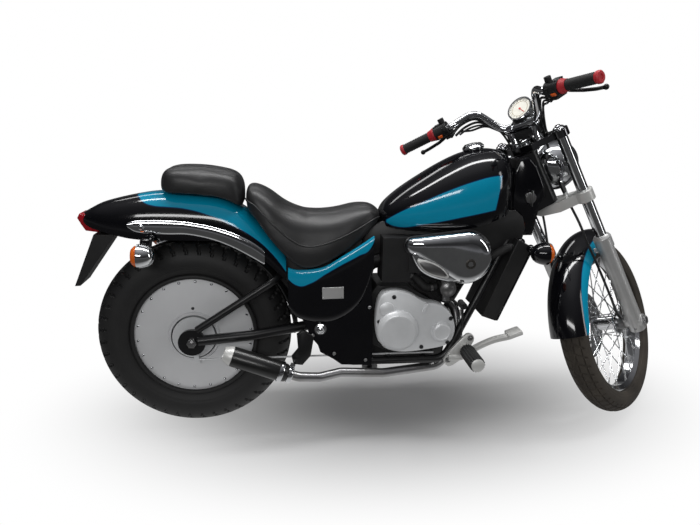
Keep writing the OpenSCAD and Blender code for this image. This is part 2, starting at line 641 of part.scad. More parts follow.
// Engine
case_left = 70;
case_outline = [[540, 300], [528, 420], [575, 478], [668, 480], [770, 420], [832, 352], [800, 288], [690, 266],
  [600, 266]];
cover_outline = [[566, 330], [574, 440], [590, 474], [664, 476], [720, 440], [810, 380], [824, 350], [800, 300],
  [756, 286], [650, 270], [590, 284]];
module crankcase() {
  color("#a4a7aa") park() {
    plate(case_outline, -case_half, case_left);
    for (x = [620, 740]) translate([x - 18, -40, rail_z + 9 + seat_gap]) cube([36, 80, 40]);
    translate([front_sprocket[0], 0, front_sprocket[1]]) rotate([-90, 0, 0]) {
      cylinder(h = chain_y + 8, r = 12);
      translate([0, 0, chain_y - 3]) cylinder(h = 6, r = front_sprocket_r - 4 - seat_gap);
    }
  }
}
// Covers: thickness, and the X and Z of the round faces on them
cover_t = 46;
clutch_at = [636, 348];
clutch_t = 70;
small_cap_at = [778, 342];
small_cap_r = 32;
small_cap_t = 60;
left_cover_at = [700, 345];
left_cover_r = 70;
module engine_covers() {
  color("#b4b7ba") park() {
    plate(cover_outline, -case_half - cover_t, -case_half - seat_gap);
    across(clutch_at[0], clutch_at[1], clutch_r, -case_half - clutch_t, -case_half - 20);
    across(small_cap_at[0], small_cap_at[1], small_cap_r, -case_half - small_cap_t, -case_half - 20);
    across(left_cover_at[0], left_cover_at[1], left_cover_r, case_left + seat_gap, case_left + cover_t);
  }
}
cylinder_lean = 42;
cylinder_half = 54;
module cylinder_block(size, h) { translate([-size / 2, -size / 2, 0]) cube([size, size, h]); }
cylinder_foot = [690, 0, 380];
module on_cylinder() { translate(cylinder_foot) rotate([0, cylinder_lean, 0]) children(); }
module cylinder_head() { on_cylinder() translate([0, 0, 186]) cylinder_block(96, 42); }
module cylinder_body() { on_cylinder() translate([0, 0, 60]) cylinder_block(2 * cylinder_half, 126); }
module engine_cylinder() {
  color("#232426") park() difference() {
    union() { cylinder_body(); cylinder_head(); }
    plate([for (p = case_outline) p + [0, seat_gap]], -200, 200);
  }
}
// Covers of the swingarm's pivot, below the side covers
pivot_cover_t = 7;
pivot_cover = [[340, 381], [400, 370.6], [460, 384], [520, 438], [550, 520], [557, 440], [562, 300], [560, 226],
  [464, 230], [437, 250], [396, 274], [388, 298], [363, 328], [350, 366]];
module pivot_covers() {
  y0 = cradle_half + cradle_r + seat_gap;
  color("#0e0e10") park() difference() {
    for (s = SIDES) plate(pivot_cover, s > 0 ? y0 : -y0 - pivot_cover_t, s > 0 ? y0 + pivot_cover_t : -y0);
    for (s = SIDES) across(pivot[0], pivot[2], 18.5, s * y0 - 20, s * y0 + 20);
    rod(stand_rail - 10 * stand_axis, stand_rail + 60 * stand_axis, 24);
  }
}
// Air box: the face that the air cleaner seats on, and the boxes' low corners and sizes
intake_face = 132;
intake_boxes = [[[664, -intake_face, 532], [190, 72, 108]], [[584, -124, 500], [90, 100, 140]]];
intake_stub = [778, 528];
carburettor_at = [800, 472];
carburettor_r = 25;
bowl_foot = [800, -86, 424];
module intake() {
  color("#141416") park() {
    for (b = intake_boxes) translate(b[0]) cube(b[1]);
    across(intake_stub[0], intake_stub[1], 16, -62, -cylinder_half - seat_gap);
    across(carburettor_at[0], carburettor_at[1], carburettor_r, -108, -62);
    translate(bowl_foot) cylinder(h = 112, r = 17);
  }
}
function teardrop(c1, r1, c2, r2) =
  let(d = c2 - c1, t = atan2(d[1], d[0]), b = acos((r1 - r2) / norm(d)))
  concat([for (i = [0 : 20]) let(a = t + b + (360 - 2 * b) * i / 20) c1 + r1 * [cos(a), sin(a)]],
    [for (i = [0 : 5]) let(a = t - b + 2 * b * i / 5) c2 + r2 * [cos(a), sin(a)]]);
// Teardrop: its big and small circles
cleaner_at = [838, 584];
cleaner_r = 82;
cleaner_tail = [676, 620];
cleaner_tail_r = 26;
module air_cleaner() {
  // Columns: distance out from the air box, inset of the outline
  layers = [[0, 3], [6, 0], [22, 0], [32, 6], [40, 18], [44, 34]];
  color("#c9ccd0") park() skin([for (l = layers)
    [for (p = teardrop(cleaner_at, cleaner_r - l[1], cleaner_tail + [l[1], 0], cleaner_tail_r - l[1] / 2))
      [p[0], -intake_face - seat_gap - l[0], p[1]]]]);
}
radiator_half = 95;
module radiator() {
  color("#1a1b1d") park() {
    plate([[920.2, 375], [968.2, 358], [1069.2, 604], [1021.2, 628]], -radiator_half, radiator_half);
  }
}
// The pipe leaves the front of the cylinder square to it and ends on the silencer's axis
muffler_front = [284, -158, 222];
muffler_back = [121, -160, 282];
muffler_dir = unit(muffler_back - muffler_front);
port_dir = [cos(cylinder_lean), 0, -sin(cylinder_lean)];
port = cylinder_foot + 110 * [sin(cylinder_lean), 0, cos(cylinder_lean)] + (cylinder_half + seat_gap) * port_dir
  - [0, 20, 0];
pipe = [port, port + 62 * port_dir, [862, -52, 280], [790, -72, 198], [600, -124, 198], [461, -130, 206],
  [393, -140, 195], muffler_front - 46 * muffler_dir, muffler_front - seat_gap * muffler_dir];
module exhaust_pipe() { color("#7f8286") park() tube(pipe, exhaust_r, 50, 14, 4); }
module muffler() {
  l = norm(muffler_back - muffler_front) + 22;
  color("#141416") park() translate(muffler_front) rotate(aim(muffler_dir)) difference() {
    rotate_extrude() polygon([[0, 0], [22, 0], [muffler_r, 14], [muffler_r, 150], [18, l], [0, l]]);
    translate([0, 0, 120]) cylinder(h = 100, r = 10);
  }
}

// Bodywork; tank columns: X, lower edge, top, share of the half width; a tunnel sits on the backbone
tank_rows = [[588, 672, 708, 0.36], [606, 664, 736, 0.54], [650, 661, 774, 0.72], [710, 660, 815, 0.87],
  [780, 662, 858, 0.96], [846, 668, 890, 1], [905, 682, 904, 0.98], [950, 698, 904, 0.88],
  [980, 708, 892, 0.7], [1000, 738, 862, 0.45]];
module fuel_tank() {
  color("#0d7f9c") park() skin([for (t = tank_rows)
    arch_ring(t[0], t[3] * tank_half, t[1], t[2], min(46, t[3] * tank_half - 8),
      max(t[1] + 8, backbone_top(t[0]) + seat_gap), 0.8, 28)], true);
}
cap_x = 884;
function tank_top(x) = lookup(x, [for (t = tank_rows) [t[0], t[2]]]);
cap_slope = atan2(tank_top(cap_x + 5) - tank_top(cap_x - 5), 10);
cap_at = [cap_x, 0, tank_top(cap_x)];
module fuel_cap() {
  color("#c9ccd0") park() translate(cap_at) rotate([0, -cap_slope, 0]) rotate_extrude() polygon([[0, seat_gap],
    [30, seat_gap], [34, 5], [34, 12], [26, 20], [0, 24]]);
}
// Seat columns: X, lower edge, top, share of the half width
seat_rows = [[176, 712, 784, 0.66], [200, 688, 786, 0.82], [240, 640, 764, 0.95], [290, 586, 728, 1],
  [340, 556, 708, 1], [390, 564, 703, 0.99], [450, 594, 709, 0.95], [510, 630, 724, 0.84],
  [556, 662, 727, 0.64], [tank_rows[0][0] - seat_gap, 680, 712, 0.38]];
module rider_seat() {
  color("#1d1d1f") park() skin([for (t = seat_rows)
    arch_ring(t[0], t[3] * seat_half, t[1], t[2], t[3] * seat_half * 0.78, max(t[1] + 8, t[2] - 46),
      0.62, 6)], true);
}
// Fender columns: X, lower edge, top, share of the half width
fender_rows = [[-322, 676, 694, 0.3], [-300, 660, 708, 0.5], [-256, 648, 729, 0.72], [-173, 630, 750, 0.9],
  [-95, 626, 762, 0.98], [0, 626, 763, 1], [90, 622, 752, 1], [160, 604, 716, 1], [220, 566, 666, 1],
  [290, 500, 582, 1]];
// Pad columns: X, top, share of the half width; its bottom follows the fender's crown
pad_rows = [[-80, 792, 0.5], [-70, 826, 0.8], [-40, 840, 0.95], [0, 844, 1], [50, 843, 1], [90, 837, 0.98],
  [140, 818, 0.9], [160, 790, 0.7]];
function fender_top(x) = lookup(x, [for (t = fender_rows) [t[0], t[2]]]);
module pillion_seat() {
  color("#1d1d1f") park() skin([for (t = pad_rows) let(z = fender_top(t[0]))
    arch_ring(t[0], t[2] * pillion_half, z - 2, t[1], t[2] * pillion_half * 0.9, z + seat_gap, 0.6, 10)], true);
}
module rear_fender() {
  color("#0e0e10") park() skin([for (t = fender_rows)
    arch_ring(t[0], t[3] * fender_half, t[1], t[2], t[3] * fender_half - fender_wall, t[2] - fender_wall,
      0.7)], true);
}
// Side cover columns: X, lower edge, top
cover_rows = [[296, 420, 548], [330, 385, 540], [400, 372, 548], [460, 386, 582], [520, 440, 620],
  [556, 540, 646]];
cover_in = cradle_half + cradle_r;
module side_cover(s) {
  skin([for (t = cover_rows) let(zc = (t[1] + t[2]) / 2, h = (t[2] - t[1]) / 2)
    [for (k = [0 : 15]) let(a = 180 * k / 15 - 90)
      [t[0], s * (cover_in + (cover_out - cover_in) * power(abs(cos(a)), 0.5)),
        zc + s * h * power(sin(a), 0.8)]]]);
}
module side_covers() { color("#0e0e10") park() for (s = SIDES) side_cover(s); }
// Rail columns: X, lower edge, upper edge
rail_rows = [[-168, 664, 682], [-140, 650, 688], [-60, 645, 688], [0, 644, 684], [70, 629, 671],
  [130, 605, 652], [186, 574, 626], [222, 552, 600]];
rail_in = fender_half + seat_gap;
module fender_rails() {
  color("#c9ccd0") park() for (s = SIDES)
    skin([for (t = rail_rows) let(zc = (t[1] + t[2]) / 2, h = (t[2] - t[1]) / 2)
      [for (k = [0 : 11]) let(a = 180 * k / 11 - 90)
        [t[0], s * (rail_in + 11 * power(abs(cos(a)), 0.6)), zc + s * h * power(sin(a), 0.8)]]]);
}
module tail_lamp() {
  color("#a3121c") park() plate([[-346, 680], [-338, 697],
    [fender_rows[0][0] - seat_gap, 697], [fender_rows[0][0] - seat_gap, 652], [-336, 648]], -34, 34);
}
module plate_bracket() {
  color("#17181a") park() {
    plate([[-286, 634], [plate_tip[0], plate_tip[2]], [-336, 474], [-290, 540], [-224, 634]], -48, 48);
    // Tongue that hangs it from the fender's crown
    plate([[-276, 630], [-276, fender_top(-276) - fender_wall - 1], [-240, fender_top(-240) - fender_wall - 1],
      [-240, 630]], -8, 8);
  }
}
// Indicator columns: bowl's X, Y and Z, facing along X, stalk's X, Y and Z where it is held
indicator_rows = [[-127, 150, 591, -1, -105, 93.6, 635],
  [1084, 150, 596, 1, 1062, radiator_half + seat_gap, 600]];
bowl_r = 34;
stalk_r = 6;
module indicator_shell(t, s) {
  translate([t[0], s * t[1], t[2]]) rotate([0, t[3] * 90, 0])
    rotate_extrude() polygon([[0, -40], [14, -38], [bowl_r - 6, -22], [bowl_r, 0], [bowl_r, 10], [0, 10]]);
  tube([[t[4], s * t[5], t[6]], [t[4], s * (t[5] + 24), t[6]], [t[4], s * (t[1] - 6), t[2]]],
    stalk_r, 10, 10, 3);
}
module indicators() { color("#c9ccd0") park() for (t = indicator_rows, s = SIDES) indicator_shell(t, s); }
module indicator_lenses() {
  color("#ef6a12") park() for (t = indicator_rows, s = SIDES)
    translate([t[0] + t[3] * (10 + seat_gap), s * t[1], t[2]]) rotate([0, t[3] * 90, 0])
      rotate_extrude() polygon([[0, 0], [bowl_r - 3, 0], [bowl_r - 4, 8], [bowl_r - 12, 16], [0, 20]]);
}

// Foot controls and stand
bracket_out = 12;
bracket_in = cradle_half + cradle_r * cos(18) + seat_gap;
module peg_brackets() {
  color("#b4b7ba") park() for (s = SIDES)
    plate([[788, 244], [806, 228], [880, 284], [886, 318], [862, 326], [838, 300]],
      s > 0 ? bracket_in : -bracket_in - bracket_out, s > 0 ? bracket_in + bracket_out : -bracket_in);
}
module footpegs() {
  y0 = bracket_in + bracket_out + seat_gap;
  color("#1c1c1d") park() for (s = SIDES) {
    rod([peg_at[0], s * y0, peg_at[1]], [peg_at[0], s * (y0 + 30), peg_at[1]], 11);
    rod([peg_at[0], s * (y0 + 24), peg_at[1]], [peg_at[0], s * peg_reach, peg_at[1]], 19);
  }
}
control_y = bracket_in + bracket_out + seat_gap + 8;
module foot_controls() {
  color("#b4b7ba") park() {
    tube([[806, -control_y, 252], [880, -control_y - 8, 246], [934, -172, 306], [984, -190, 344]],
      8, 26, 10, 4);
    translate([986, -190, 350]) rotate([0, -20, 0]) cube([56, 60, 12], center = true);
    tube([[700, case_left + cover_t + seat_gap + 6.8, 300], [760, control_y, 240], [880, control_y + 8, 246],
      [940, 160, 326]], 7, 26, 10, 4);
    rod([938, 150, 326], [938, 206, 326], 11);
  }
}
module rear_brake() {
  y = -hub_half - 14;
  color("#a4a7aa") park() difference() {
    union() {
      across(0, rear_axle_z, drum_r - run_gap, -hub_half - 4, -hub_half + 28);
      across(0, rear_axle_z, 16, -swing_half + 6 + seat_gap, -hub_half - 2);
      // Brake arm and the rod that pulls it
      across(4, 262, 8, y - 7, -hub_half - 2);
      plate([[-4, 264], [12, 264], [18, 226], [2, 226]], y - 4, y + 4);
      rod([10, y, 236], [772, y, 246], 3);
    }
    across(0, rear_axle_z, axle_r + bearing_gap, -swing_half, -hub_half + 40);
  }
}
module side_stand() {
  top = parked(stand_pivot);
  foot = [top[0] + stand_reach[0], top[1] + stand_reach[1], stand_foot_t];
  color("#1a1b1d") {
    park() rod(stand_pivot - stand_axis * stand_eye_t / 2, stand_pivot + stand_axis * stand_eye_t / 2, 16);
    rod(top, foot, stand_r);
    translate([foot[0], foot[1], 0]) cylinder(h = stand_foot_t, r = 30);
  }
}

frame();
ignition_lock();
swingarm();
rear_axle();
chain();
crankcase();
engine_covers();
engine_cylinder();  // cylinder
pivot_covers();
intake();
air_cleaner();
radiator();
exhaust_pipe();
muffler();
fuel_tank();
fuel_cap();
rider_seat();
pillion_seat();
rear_fender();
side_covers();
fender_rails();
tail_lamp();
plate_bracket();
indicators();
indicator_lenses();
peg_brackets();
footpegs();
foot_controls();
rear_brake();
lower_yoke();
top_yoke();
stanchions();
sliders();
front_axle();
front_fender();
headlamp();
headlamp_lens();
speedometer();
handlebar();
grips();
switch_housings();
mirror_bosses();
levers();
brake_caliper();
cables();
front_tyre();
front_wheel();
brake_disc();
rear_tyre();
rear_wheel();
rear_sprocket();
side_stand();
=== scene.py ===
"""Looks of a small cruiser motorcycle: bodywork, paint, chrome, rubber and leather round its CAD frame."""
import json
import math

import bmesh
import bpy
from mathutils import Matrix, Vector

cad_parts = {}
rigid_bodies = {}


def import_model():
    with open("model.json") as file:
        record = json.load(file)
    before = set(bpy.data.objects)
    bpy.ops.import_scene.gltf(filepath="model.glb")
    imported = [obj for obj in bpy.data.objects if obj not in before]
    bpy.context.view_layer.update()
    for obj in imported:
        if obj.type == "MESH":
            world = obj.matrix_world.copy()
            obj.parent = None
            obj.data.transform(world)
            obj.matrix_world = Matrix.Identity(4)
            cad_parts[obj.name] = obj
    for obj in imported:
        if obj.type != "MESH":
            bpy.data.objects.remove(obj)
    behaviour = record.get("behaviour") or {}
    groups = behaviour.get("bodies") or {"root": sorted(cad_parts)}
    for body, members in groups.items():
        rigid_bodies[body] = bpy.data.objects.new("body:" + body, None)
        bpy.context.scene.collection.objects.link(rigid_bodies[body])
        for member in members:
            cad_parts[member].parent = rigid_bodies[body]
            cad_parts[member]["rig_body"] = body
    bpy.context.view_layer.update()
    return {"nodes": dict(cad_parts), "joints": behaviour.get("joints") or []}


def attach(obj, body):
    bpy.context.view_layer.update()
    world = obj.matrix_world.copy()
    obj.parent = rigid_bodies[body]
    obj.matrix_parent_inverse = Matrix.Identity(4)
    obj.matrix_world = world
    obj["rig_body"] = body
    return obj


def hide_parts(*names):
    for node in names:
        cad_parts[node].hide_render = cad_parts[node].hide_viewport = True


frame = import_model()
scene = bpy.context.scene
joints = {j["name"]: j for j in frame["joints"]}

# The machine is described upright, in millimetres from the point under the rear axle, and then parked:
# leaned on its stand, with the small pitch that puts both tyres on the ground.
MM = 0.001
PITCH = math.radians(0.546)
# Tyres: radius, width, and radius where the rubber meets the rim
REAR_RADIUS, REAR_WIDTH, REAR_BEAD = 307, 130, 200.3
FRONT_RADIUS, FRONT_WIDTH, FRONT_BEAD = 305, 88, 238.3
# Fork legs: distance ahead of the steering axis, and out from the middle
FORK_OFFSET, FORK_HALF = 38, 102


def spot_at(x, y, z):
    """Matrix to a point."""
    return Matrix.Translation((x, y, z))


def turn_by(degrees, axis):
    """Matrix of a turn about an axis through the origin."""
    return Matrix.Rotation(math.radians(degrees), 4, axis)


def frame_matrix(x_dir, y_dir, z_dir, origin):
    """Matrix from millimetres along three directions to the row frame's metres."""
    turn = Matrix((x_dir, y_dir, z_dir)).transposed().to_4x4()
    return Matrix.Translation(origin) @ turn @ Matrix.Scale(MM, 4)


rear_axle_at = Vector(joints["rear_wheel_spin"]["pos_m"])
rear_axle_dir = Vector(joints["rear_wheel_spin"]["axis"]).normalized()
forward = Vector((math.cos(PITCH), 0, -math.sin(PITCH)))
upward = forward.cross(rear_axle_dir).normalized()
CHASSIS = frame_matrix(forward, rear_axle_dir, upward, rear_axle_at - upward * REAR_RADIUS * MM)
front_axle_at = Vector(joints["front_wheel_spin"]["pos_m"])
front_axle_dir = Vector(joints["front_wheel_spin"]["axis"]).normalized()
fork_up = Vector(joints["steering_turn"]["axis"]).normalized()
fork_ahead = front_axle_dir.cross(fork_up).normalized()
FORK = frame_matrix(fork_ahead, front_axle_dir, fork_up, front_axle_at - fork_ahead * FORK_OFFSET * MM)
REAR_WHEEL = CHASSIS @ spot_at(0, 0, REAR_RADIUS)
FRONT_WHEEL = FORK @ spot_at(FORK_OFFSET, 0, 0)


# Camera: fitted to the wheels and axles of the photographed machine, for a frame of 700 by 525
FRAME_WIDTH = 700
FOCAL_PIXELS = 610.32
CAMERA_AT = Vector((-0.35835, -1.78902, 1.2844))
CAMERA_YAW, CAMERA_PITCH, CAMERA_ROLL = (math.radians(a) for a in (6.29, -22.53, 1.68))
look = Vector((math.sin(CAMERA_YAW) * math.cos(CAMERA_PITCH),
               math.cos(CAMERA_YAW) * math.cos(CAMERA_PITCH), math.sin(CAMERA_PITCH)))
level_right = Vector((math.cos(CAMERA_YAW), -math.sin(CAMERA_YAW), 0))
level_up = level_right.cross(look)
camera_right = math.cos(CAMERA_ROLL) * level_right + math.sin(CAMERA_ROLL) * level_up
camera_up = -math.sin(CAMERA_ROLL) * level_right + math.cos(CAMERA_ROLL) * level_up
camera_data = bpy.data.cameras.new("photo_camera")
camera_data.sensor_width = 36
camera_data.lens = FOCAL_PIXELS / FRAME_WIDTH * camera_data.sensor_width
camera = bpy.data.objects.new("photo_camera", camera_data)
camera.matrix_world = (Matrix.Translation(CAMERA_AT)
                       @ Matrix((camera_right, camera_up, -look)).transposed().to_4x4())
scene.collection.objects.link(camera)
scene.camera = camera


# Shader groups and materials
def add_node(tree, kind, place=(0, 0), **values):
    """A node whose sockets and settings are given by name; sockets are written with a leading s_."""
    node = tree.nodes.new(kind)
    node.location = place
    for key, value in values.items():
        if key.startswith("s_"):
            node.inputs[key[2:].replace("_", " ")].default_value = value
        else:
            setattr(node, key, value)
    return node


def new_group(name, inputs, outputs):
    """An empty shader group with named inputs and outputs: (name, socket type, default)."""
    group = bpy.data.node_groups.new(name, "ShaderNodeTree")
    for label, kind, default in inputs:
        socket = group.interface.new_socket(label, in_out="INPUT", socket_type=kind)
        socket.default_value = default
    for label, kind in outputs:
        group.interface.new_socket(label, in_out="OUTPUT", socket_type=kind)
    return group, group.nodes.new("NodeGroupInput"), group.nodes.new("NodeGroupOutput")


def build_grain_group():
    """Fine and coarse noise in object space: a height for bump and a mask for soft patches."""
    group, source, result = new_group(
        "surface_grain",
        [("Fine Scale", "NodeSocketFloat", 400.0), ("Coarse Scale", "NodeSocketFloat", 12.0),
         ("Blend", "NodeSocketFloat", 0.5)],
        [("Height", "NodeSocketFloat"), ("Patch", "NodeSocketFloat")])
    place = add_node(group, "ShaderNodeTexCoord")
    fine = add_node(group, "ShaderNodeTexNoise", s_Detail=3.0, s_Roughness=0.6)
    coarse = add_node(group, "ShaderNodeTexNoise", s_Detail=4.0, s_Roughness=0.55)
    mix = add_node(group, "ShaderNodeMix", data_type="FLOAT")
    ramp = add_node(group, "ShaderNodeMapRange", s_From_Min=0.35, s_From_Max=0.7)
    link = group.links.new
    link(place.outputs["Object"], fine.inputs["Vector"])
    link(place.outputs["Object"], coarse.inputs["Vector"])
    link(source.outputs["Fine Scale"], fine.inputs["Scale"])
    link(source.outputs["Coarse Scale"], coarse.inputs["Scale"])
    link(source.outputs["Blend"], mix.inputs["Factor"])
    link(fine.outputs["Fac"], mix.inputs["A"])
    link(coarse.outputs["Fac"], mix.inputs["B"])
    link(coarse.outputs["Fac"], ramp.inputs["Value"])
    link(mix.outputs["Result"], result.inputs["Height"])
    link(ramp.outputs["Result"], result.inputs["Patch"])
    return group


GRAIN = build_grain_group()


def finish_material(name, colour, second=None, roughness=0.5, rough_spread=0.1, metallic=0.0, bump=0.0,
                    fine=400.0, coarse=12.0, blend=0.5, coat=0.0, coat_roughness=0.05, specular=0.5):
    """A finish whose colour and roughness drift between two values in soft patches, with a fine bump."""
    made = bpy.data.materials.new(name)
    made.use_nodes = True
    tree = made.node_tree
    shader = tree.nodes["Principled BSDF"]
    grain = add_node(tree, "ShaderNodeGroup", (-700, 0))
    grain.node_tree = GRAIN
    grain.inputs["Fine Scale"].default_value = fine
    grain.inputs["Coarse Scale"].default_value = coarse
    grain.inputs["Blend"].default_value = blend
    tint = add_node(tree, "ShaderNodeMix", (-400, 200), data_type="RGBA")
    tint.inputs["A"].default_value = (*colour, 1)
    tint.inputs["B"].default_value = (*(second or [0.8 * c for c in colour]), 1)
    rough = add_node(tree, "ShaderNodeMapRange", (-400, -100))
    rough.inputs["To Min"].default_value = max(0.02, roughness - rough_spread)
    rough.inputs["To Max"].default_value = min(1.0, roughness + rough_spread)
    link = tree.links.new
    link(grain.outputs["Patch"], tint.inputs["Factor"])
    link(grain.outputs["Height"], rough.inputs["Value"])
    link(tint.outputs["Result"], shader.inputs["Base Color"])
    link(rough.outputs["Result"], shader.inputs["Roughness"])
    shader.inputs["Metallic"].default_value = metallic
    shader.inputs["Coat Weight"].default_value = coat
    shader.inputs["Coat Roughness"].default_value = coat_roughness
    shader.inputs["Specular IOR Level"].default_value = specular
    if bump > 0:
        relief = add_node(tree, "ShaderNodeBump", (-400, -350), s_Distance=0.001, s_Strength=bump)
        link(grain.outputs["Height"], relief.inputs["Height"])
        link(relief.outputs["Normal"], shader.inputs["Normal"])
    return made


TEAL = (0.001, 0.215, 0.345)
BLACK_PAINT = (0.002, 0.002, 0.003)
FINISH = {}


def add_finish(name, *values, **more):
    """Makes a finish and keeps it under its name."""
    FINISH[name] = finish_material(name, *values, **more)


add_finish("gloss_black", BLACK_PAINT, (0.003, 0.003, 0.004), 0.12, 0.03, coat=0.5, fine=900, bump=0.006,
           specular=0.3)
add_finish("frame_black", (0.005, 0.005, 0.0055), (0.008, 0.008, 0.0085), 0.32, 0.1, bump=0.05,
           specular=0.4)
add_finish("chrome", (0.74, 0.75, 0.76), (0.66, 0.67, 0.69), 0.08, 0.04, metallic=1.0, coarse=25)
add_finish("satin_alloy", (0.56, 0.56, 0.555), (0.48, 0.48, 0.475), 0.36, 0.08, metallic=0.6, bump=0.06,
           fine=700)
add_finish("cast_alloy", (0.66, 0.67, 0.68), (0.58, 0.59, 0.6), 0.4, 0.08, metallic=0.3, bump=0.16,
           fine=600)
add_finish("dark_alloy", (0.09, 0.092, 0.095), (0.06, 0.06, 0.063), 0.3, 0.1, metallic=0.9, bump=0.05)
add_finish("bright_alloy", (0.6, 0.6, 0.585), (0.5, 0.5, 0.485), 0.38, 0.08, metallic=0.35, bump=0.06,
           fine=700)
add_finish("dark_chrome", (0.2, 0.2, 0.21), (0.16, 0.16, 0.165), 0.14, 0.05, metallic=1.0)
add_finish("steel", (0.38, 0.38, 0.385), (0.28, 0.275, 0.27), 0.33, 0.1, metallic=1.0, bump=0.05)
add_finish("dark_steel", (0.10, 0.096, 0.09), (0.055, 0.05, 0.045), 0.45, 0.12, metallic=0.9, bump=0.1,
           coarse=30)
add_finish("engine_black", (0.008, 0.008, 0.0085), (0.015, 0.015, 0.015), 0.42, 0.12, bump=0.12)
add_finish("black_plastic", (0.007, 0.007, 0.0075), (0.011, 0.011, 0.0115), 0.46, 0.1, bump=0.1,
           fine=1200)
add_finish("rubber", (0.009, 0.009, 0.0093), (0.015, 0.015, 0.015), 0.66, 0.1, bump=0.12)
add_finish("tyre_rear", (0.0055, 0.0055, 0.006), (0.009, 0.0088, 0.0086), 0.6, 0.1, bump=0.15)
add_finish("tyre_front", (0.024, 0.019, 0.014), (0.042, 0.034, 0.025), 0.8, 0.08, bump=0.2)
add_finish("leather", (0.010, 0.010, 0.0105), (0.015, 0.015, 0.0155), 0.42, 0.1, bump=0.35, fine=260,
           blend=0.15)
add_finish("wheel_silver", (0.62, 0.625, 0.635), (0.56, 0.565, 0.575), 0.4, 0.07, metallic=0.3, bump=0.03,
           coarse=6)
add_finish("muffler_black", (0.006, 0.006, 0.006), (0.01, 0.01, 0.01), 0.3, 0.08, bump=0.04)
add_finish("radiator_black", (0.007, 0.007, 0.0075), (0.013, 0.0125, 0.012), 0.5, 0.1, bump=0.1)
add_finish("red_rubber", (0.42, 0.012, 0.02), (0.32, 0.01, 0.016), 0.5, 0.1, bump=0.1)
add_finish("orange_button", (0.75, 0.12, 0.01), (0.6, 0.09, 0.01), 0.4, 0.08)
add_finish("cream_dial", (0.86, 0.84, 0.76), (0.8, 0.78, 0.7), 0.5, 0.08)
add_finish("red_needle", (0.6, 0.02, 0.015), (0.5, 0.02, 0.015), 0.4, 0.05)
add_finish("brass_tint", (0.42, 0.33, 0.18), (0.33, 0.25, 0.13), 0.4, 0.1, metallic=0.9)


def painted_material(name, teal_mask):
    """Gloss black with teal where the mask says, edged by a thin dark blue line.

    teal_mask(tree) returns a socket that is the distance inside the teal area, in millimetres."""
    made = finish_material(name, BLACK_PAINT, (0.003, 0.003, 0.004), 0.12, 0.03, coat=0.5, fine=900,
                           bump=0.006, specular=0.3)
    tree = made.node_tree
    link = tree.links.new
    shader = tree.nodes["Principled BSDF"]
    black = shader.inputs["Base Color"].links[0].from_socket
    inside = teal_mask(tree)
    for colour, start in (((0.003, 0.018, 0.07), -2.5), (TEAL, 0.0)):
        edge = add_node(tree, "ShaderNodeMapRange")
        edge.inputs["From Min"].default_value = start - 0.8
        edge.inputs["From Max"].default_value = start + 0.8
        layer = add_node(tree, "ShaderNodeMix", data_type="RGBA")
        layer.inputs["B"].default_value = (*colour, 1)
        link(inside, edge.inputs["Value"])
        link(edge.outputs["Result"], layer.inputs["Factor"])
        link(black, layer.inputs["A"])
        black = layer.outputs["Result"]
    link(black, shader.inputs["Base Color"])
    return made


def math_node(tree, operation, first, second=None):
    """A math node on sockets or numbers; returns its output socket."""
    node = add_node(tree, "ShaderNodeMath", operation=operation)
    for slot, value in enumerate((first, second)):
        if value is None:
            continue
        if isinstance(value, (int, float)):
            node.inputs[slot].default_value = value
        else:
            tree.links.new(value, node.inputs[slot])
    return node.outputs[0]


# Millimetres that stand for one unit of the side map
SPAN = 1000.0


def curve_through(tree, value, points):
    """Height of a smooth line through (x, z) points, in millimetres, at a socket that gives x."""
    low_x, high_x = points[0][0], points[-1][0]
    node = add_node(tree, "ShaderNodeFloatCurve")
    line = node.mapping.curves[0]
    node.mapping.use_clip = False
    while len(line.points) > 2:
        line.points.remove(line.points[1])
    scaled = [((x - low_x) / (high_x - low_x), z / SPAN) for x, z in points]
    line.points[0].location = scaled[0]
    line.points[-1].location = scaled[-1]
    for x, z in scaled[1:-1]:
        line.points.new(x, z)
    node.mapping.update()
    share = add_node(tree, "ShaderNodeMapRange")
    share.inputs["From Min"].default_value = low_x
    share.inputs["From Max"].default_value = high_x
    tree.links.new(value, share.inputs["Value"])
    tree.links.new(share.outputs["Result"], node.inputs["Value"])
    return math_node(tree, "MULTIPLY", node.outputs[0], SPAN)


def side_place(tree):
    """X and Z of a painted shell in the upright machine, in millimetres, from its own coordinates."""
    place = add_node(tree, "ShaderNodeUVMap", uv_map="side")
    split = add_node(tree, "ShaderNodeSeparateXYZ")
    tree.links.new(place.outputs["UV"], split.inputs["Vector"])
    return [math_node(tree, "MULTIPLY", split.outputs[axis], SPAN) for axis in "XY"]


def glassy_material(name, colour, transmission, roughness=0.05):
    """Coloured lens plastic or clear lamp glass, with fine ribs moulded in it."""
    made = bpy.data.materials.new(name)
    made.use_nodes = True
    tree = made.node_tree
    shader = tree.nodes["Principled BSDF"]
    shader.inputs["Transmission Weight"].default_value = transmission
    shader.inputs["IOR"].default_value = 1.49
    shader.inputs["Roughness"].default_value = roughness
    place = add_node(tree, "ShaderNodeTexCoord")
    ribs = add_node(tree, "ShaderNodeTexWave", s_Scale=90.0, s_Distortion=0.0)
    tint = add_node(tree, "ShaderNodeMix", data_type="RGBA")
    tint.inputs["A"].default_value = (*colour, 1)
    tint.inputs["B"].default_value = (*[0.75 * c for c in colour], 1)
    relief = add_node(tree, "ShaderNodeBump", s_Distance=0.0006, s_Strength=0.4)
    link = tree.links.new
    link(place.outputs["Object"], ribs.inputs["Vector"])
    link(ribs.outputs["Fac"], tint.inputs["Factor"])
    link(ribs.outputs["Fac"], relief.inputs["Height"])
    link(tint.outputs["Result"], shader.inputs["Base Color"])
    link(relief.outputs["Normal"], shader.inputs["Normal"])
    return made


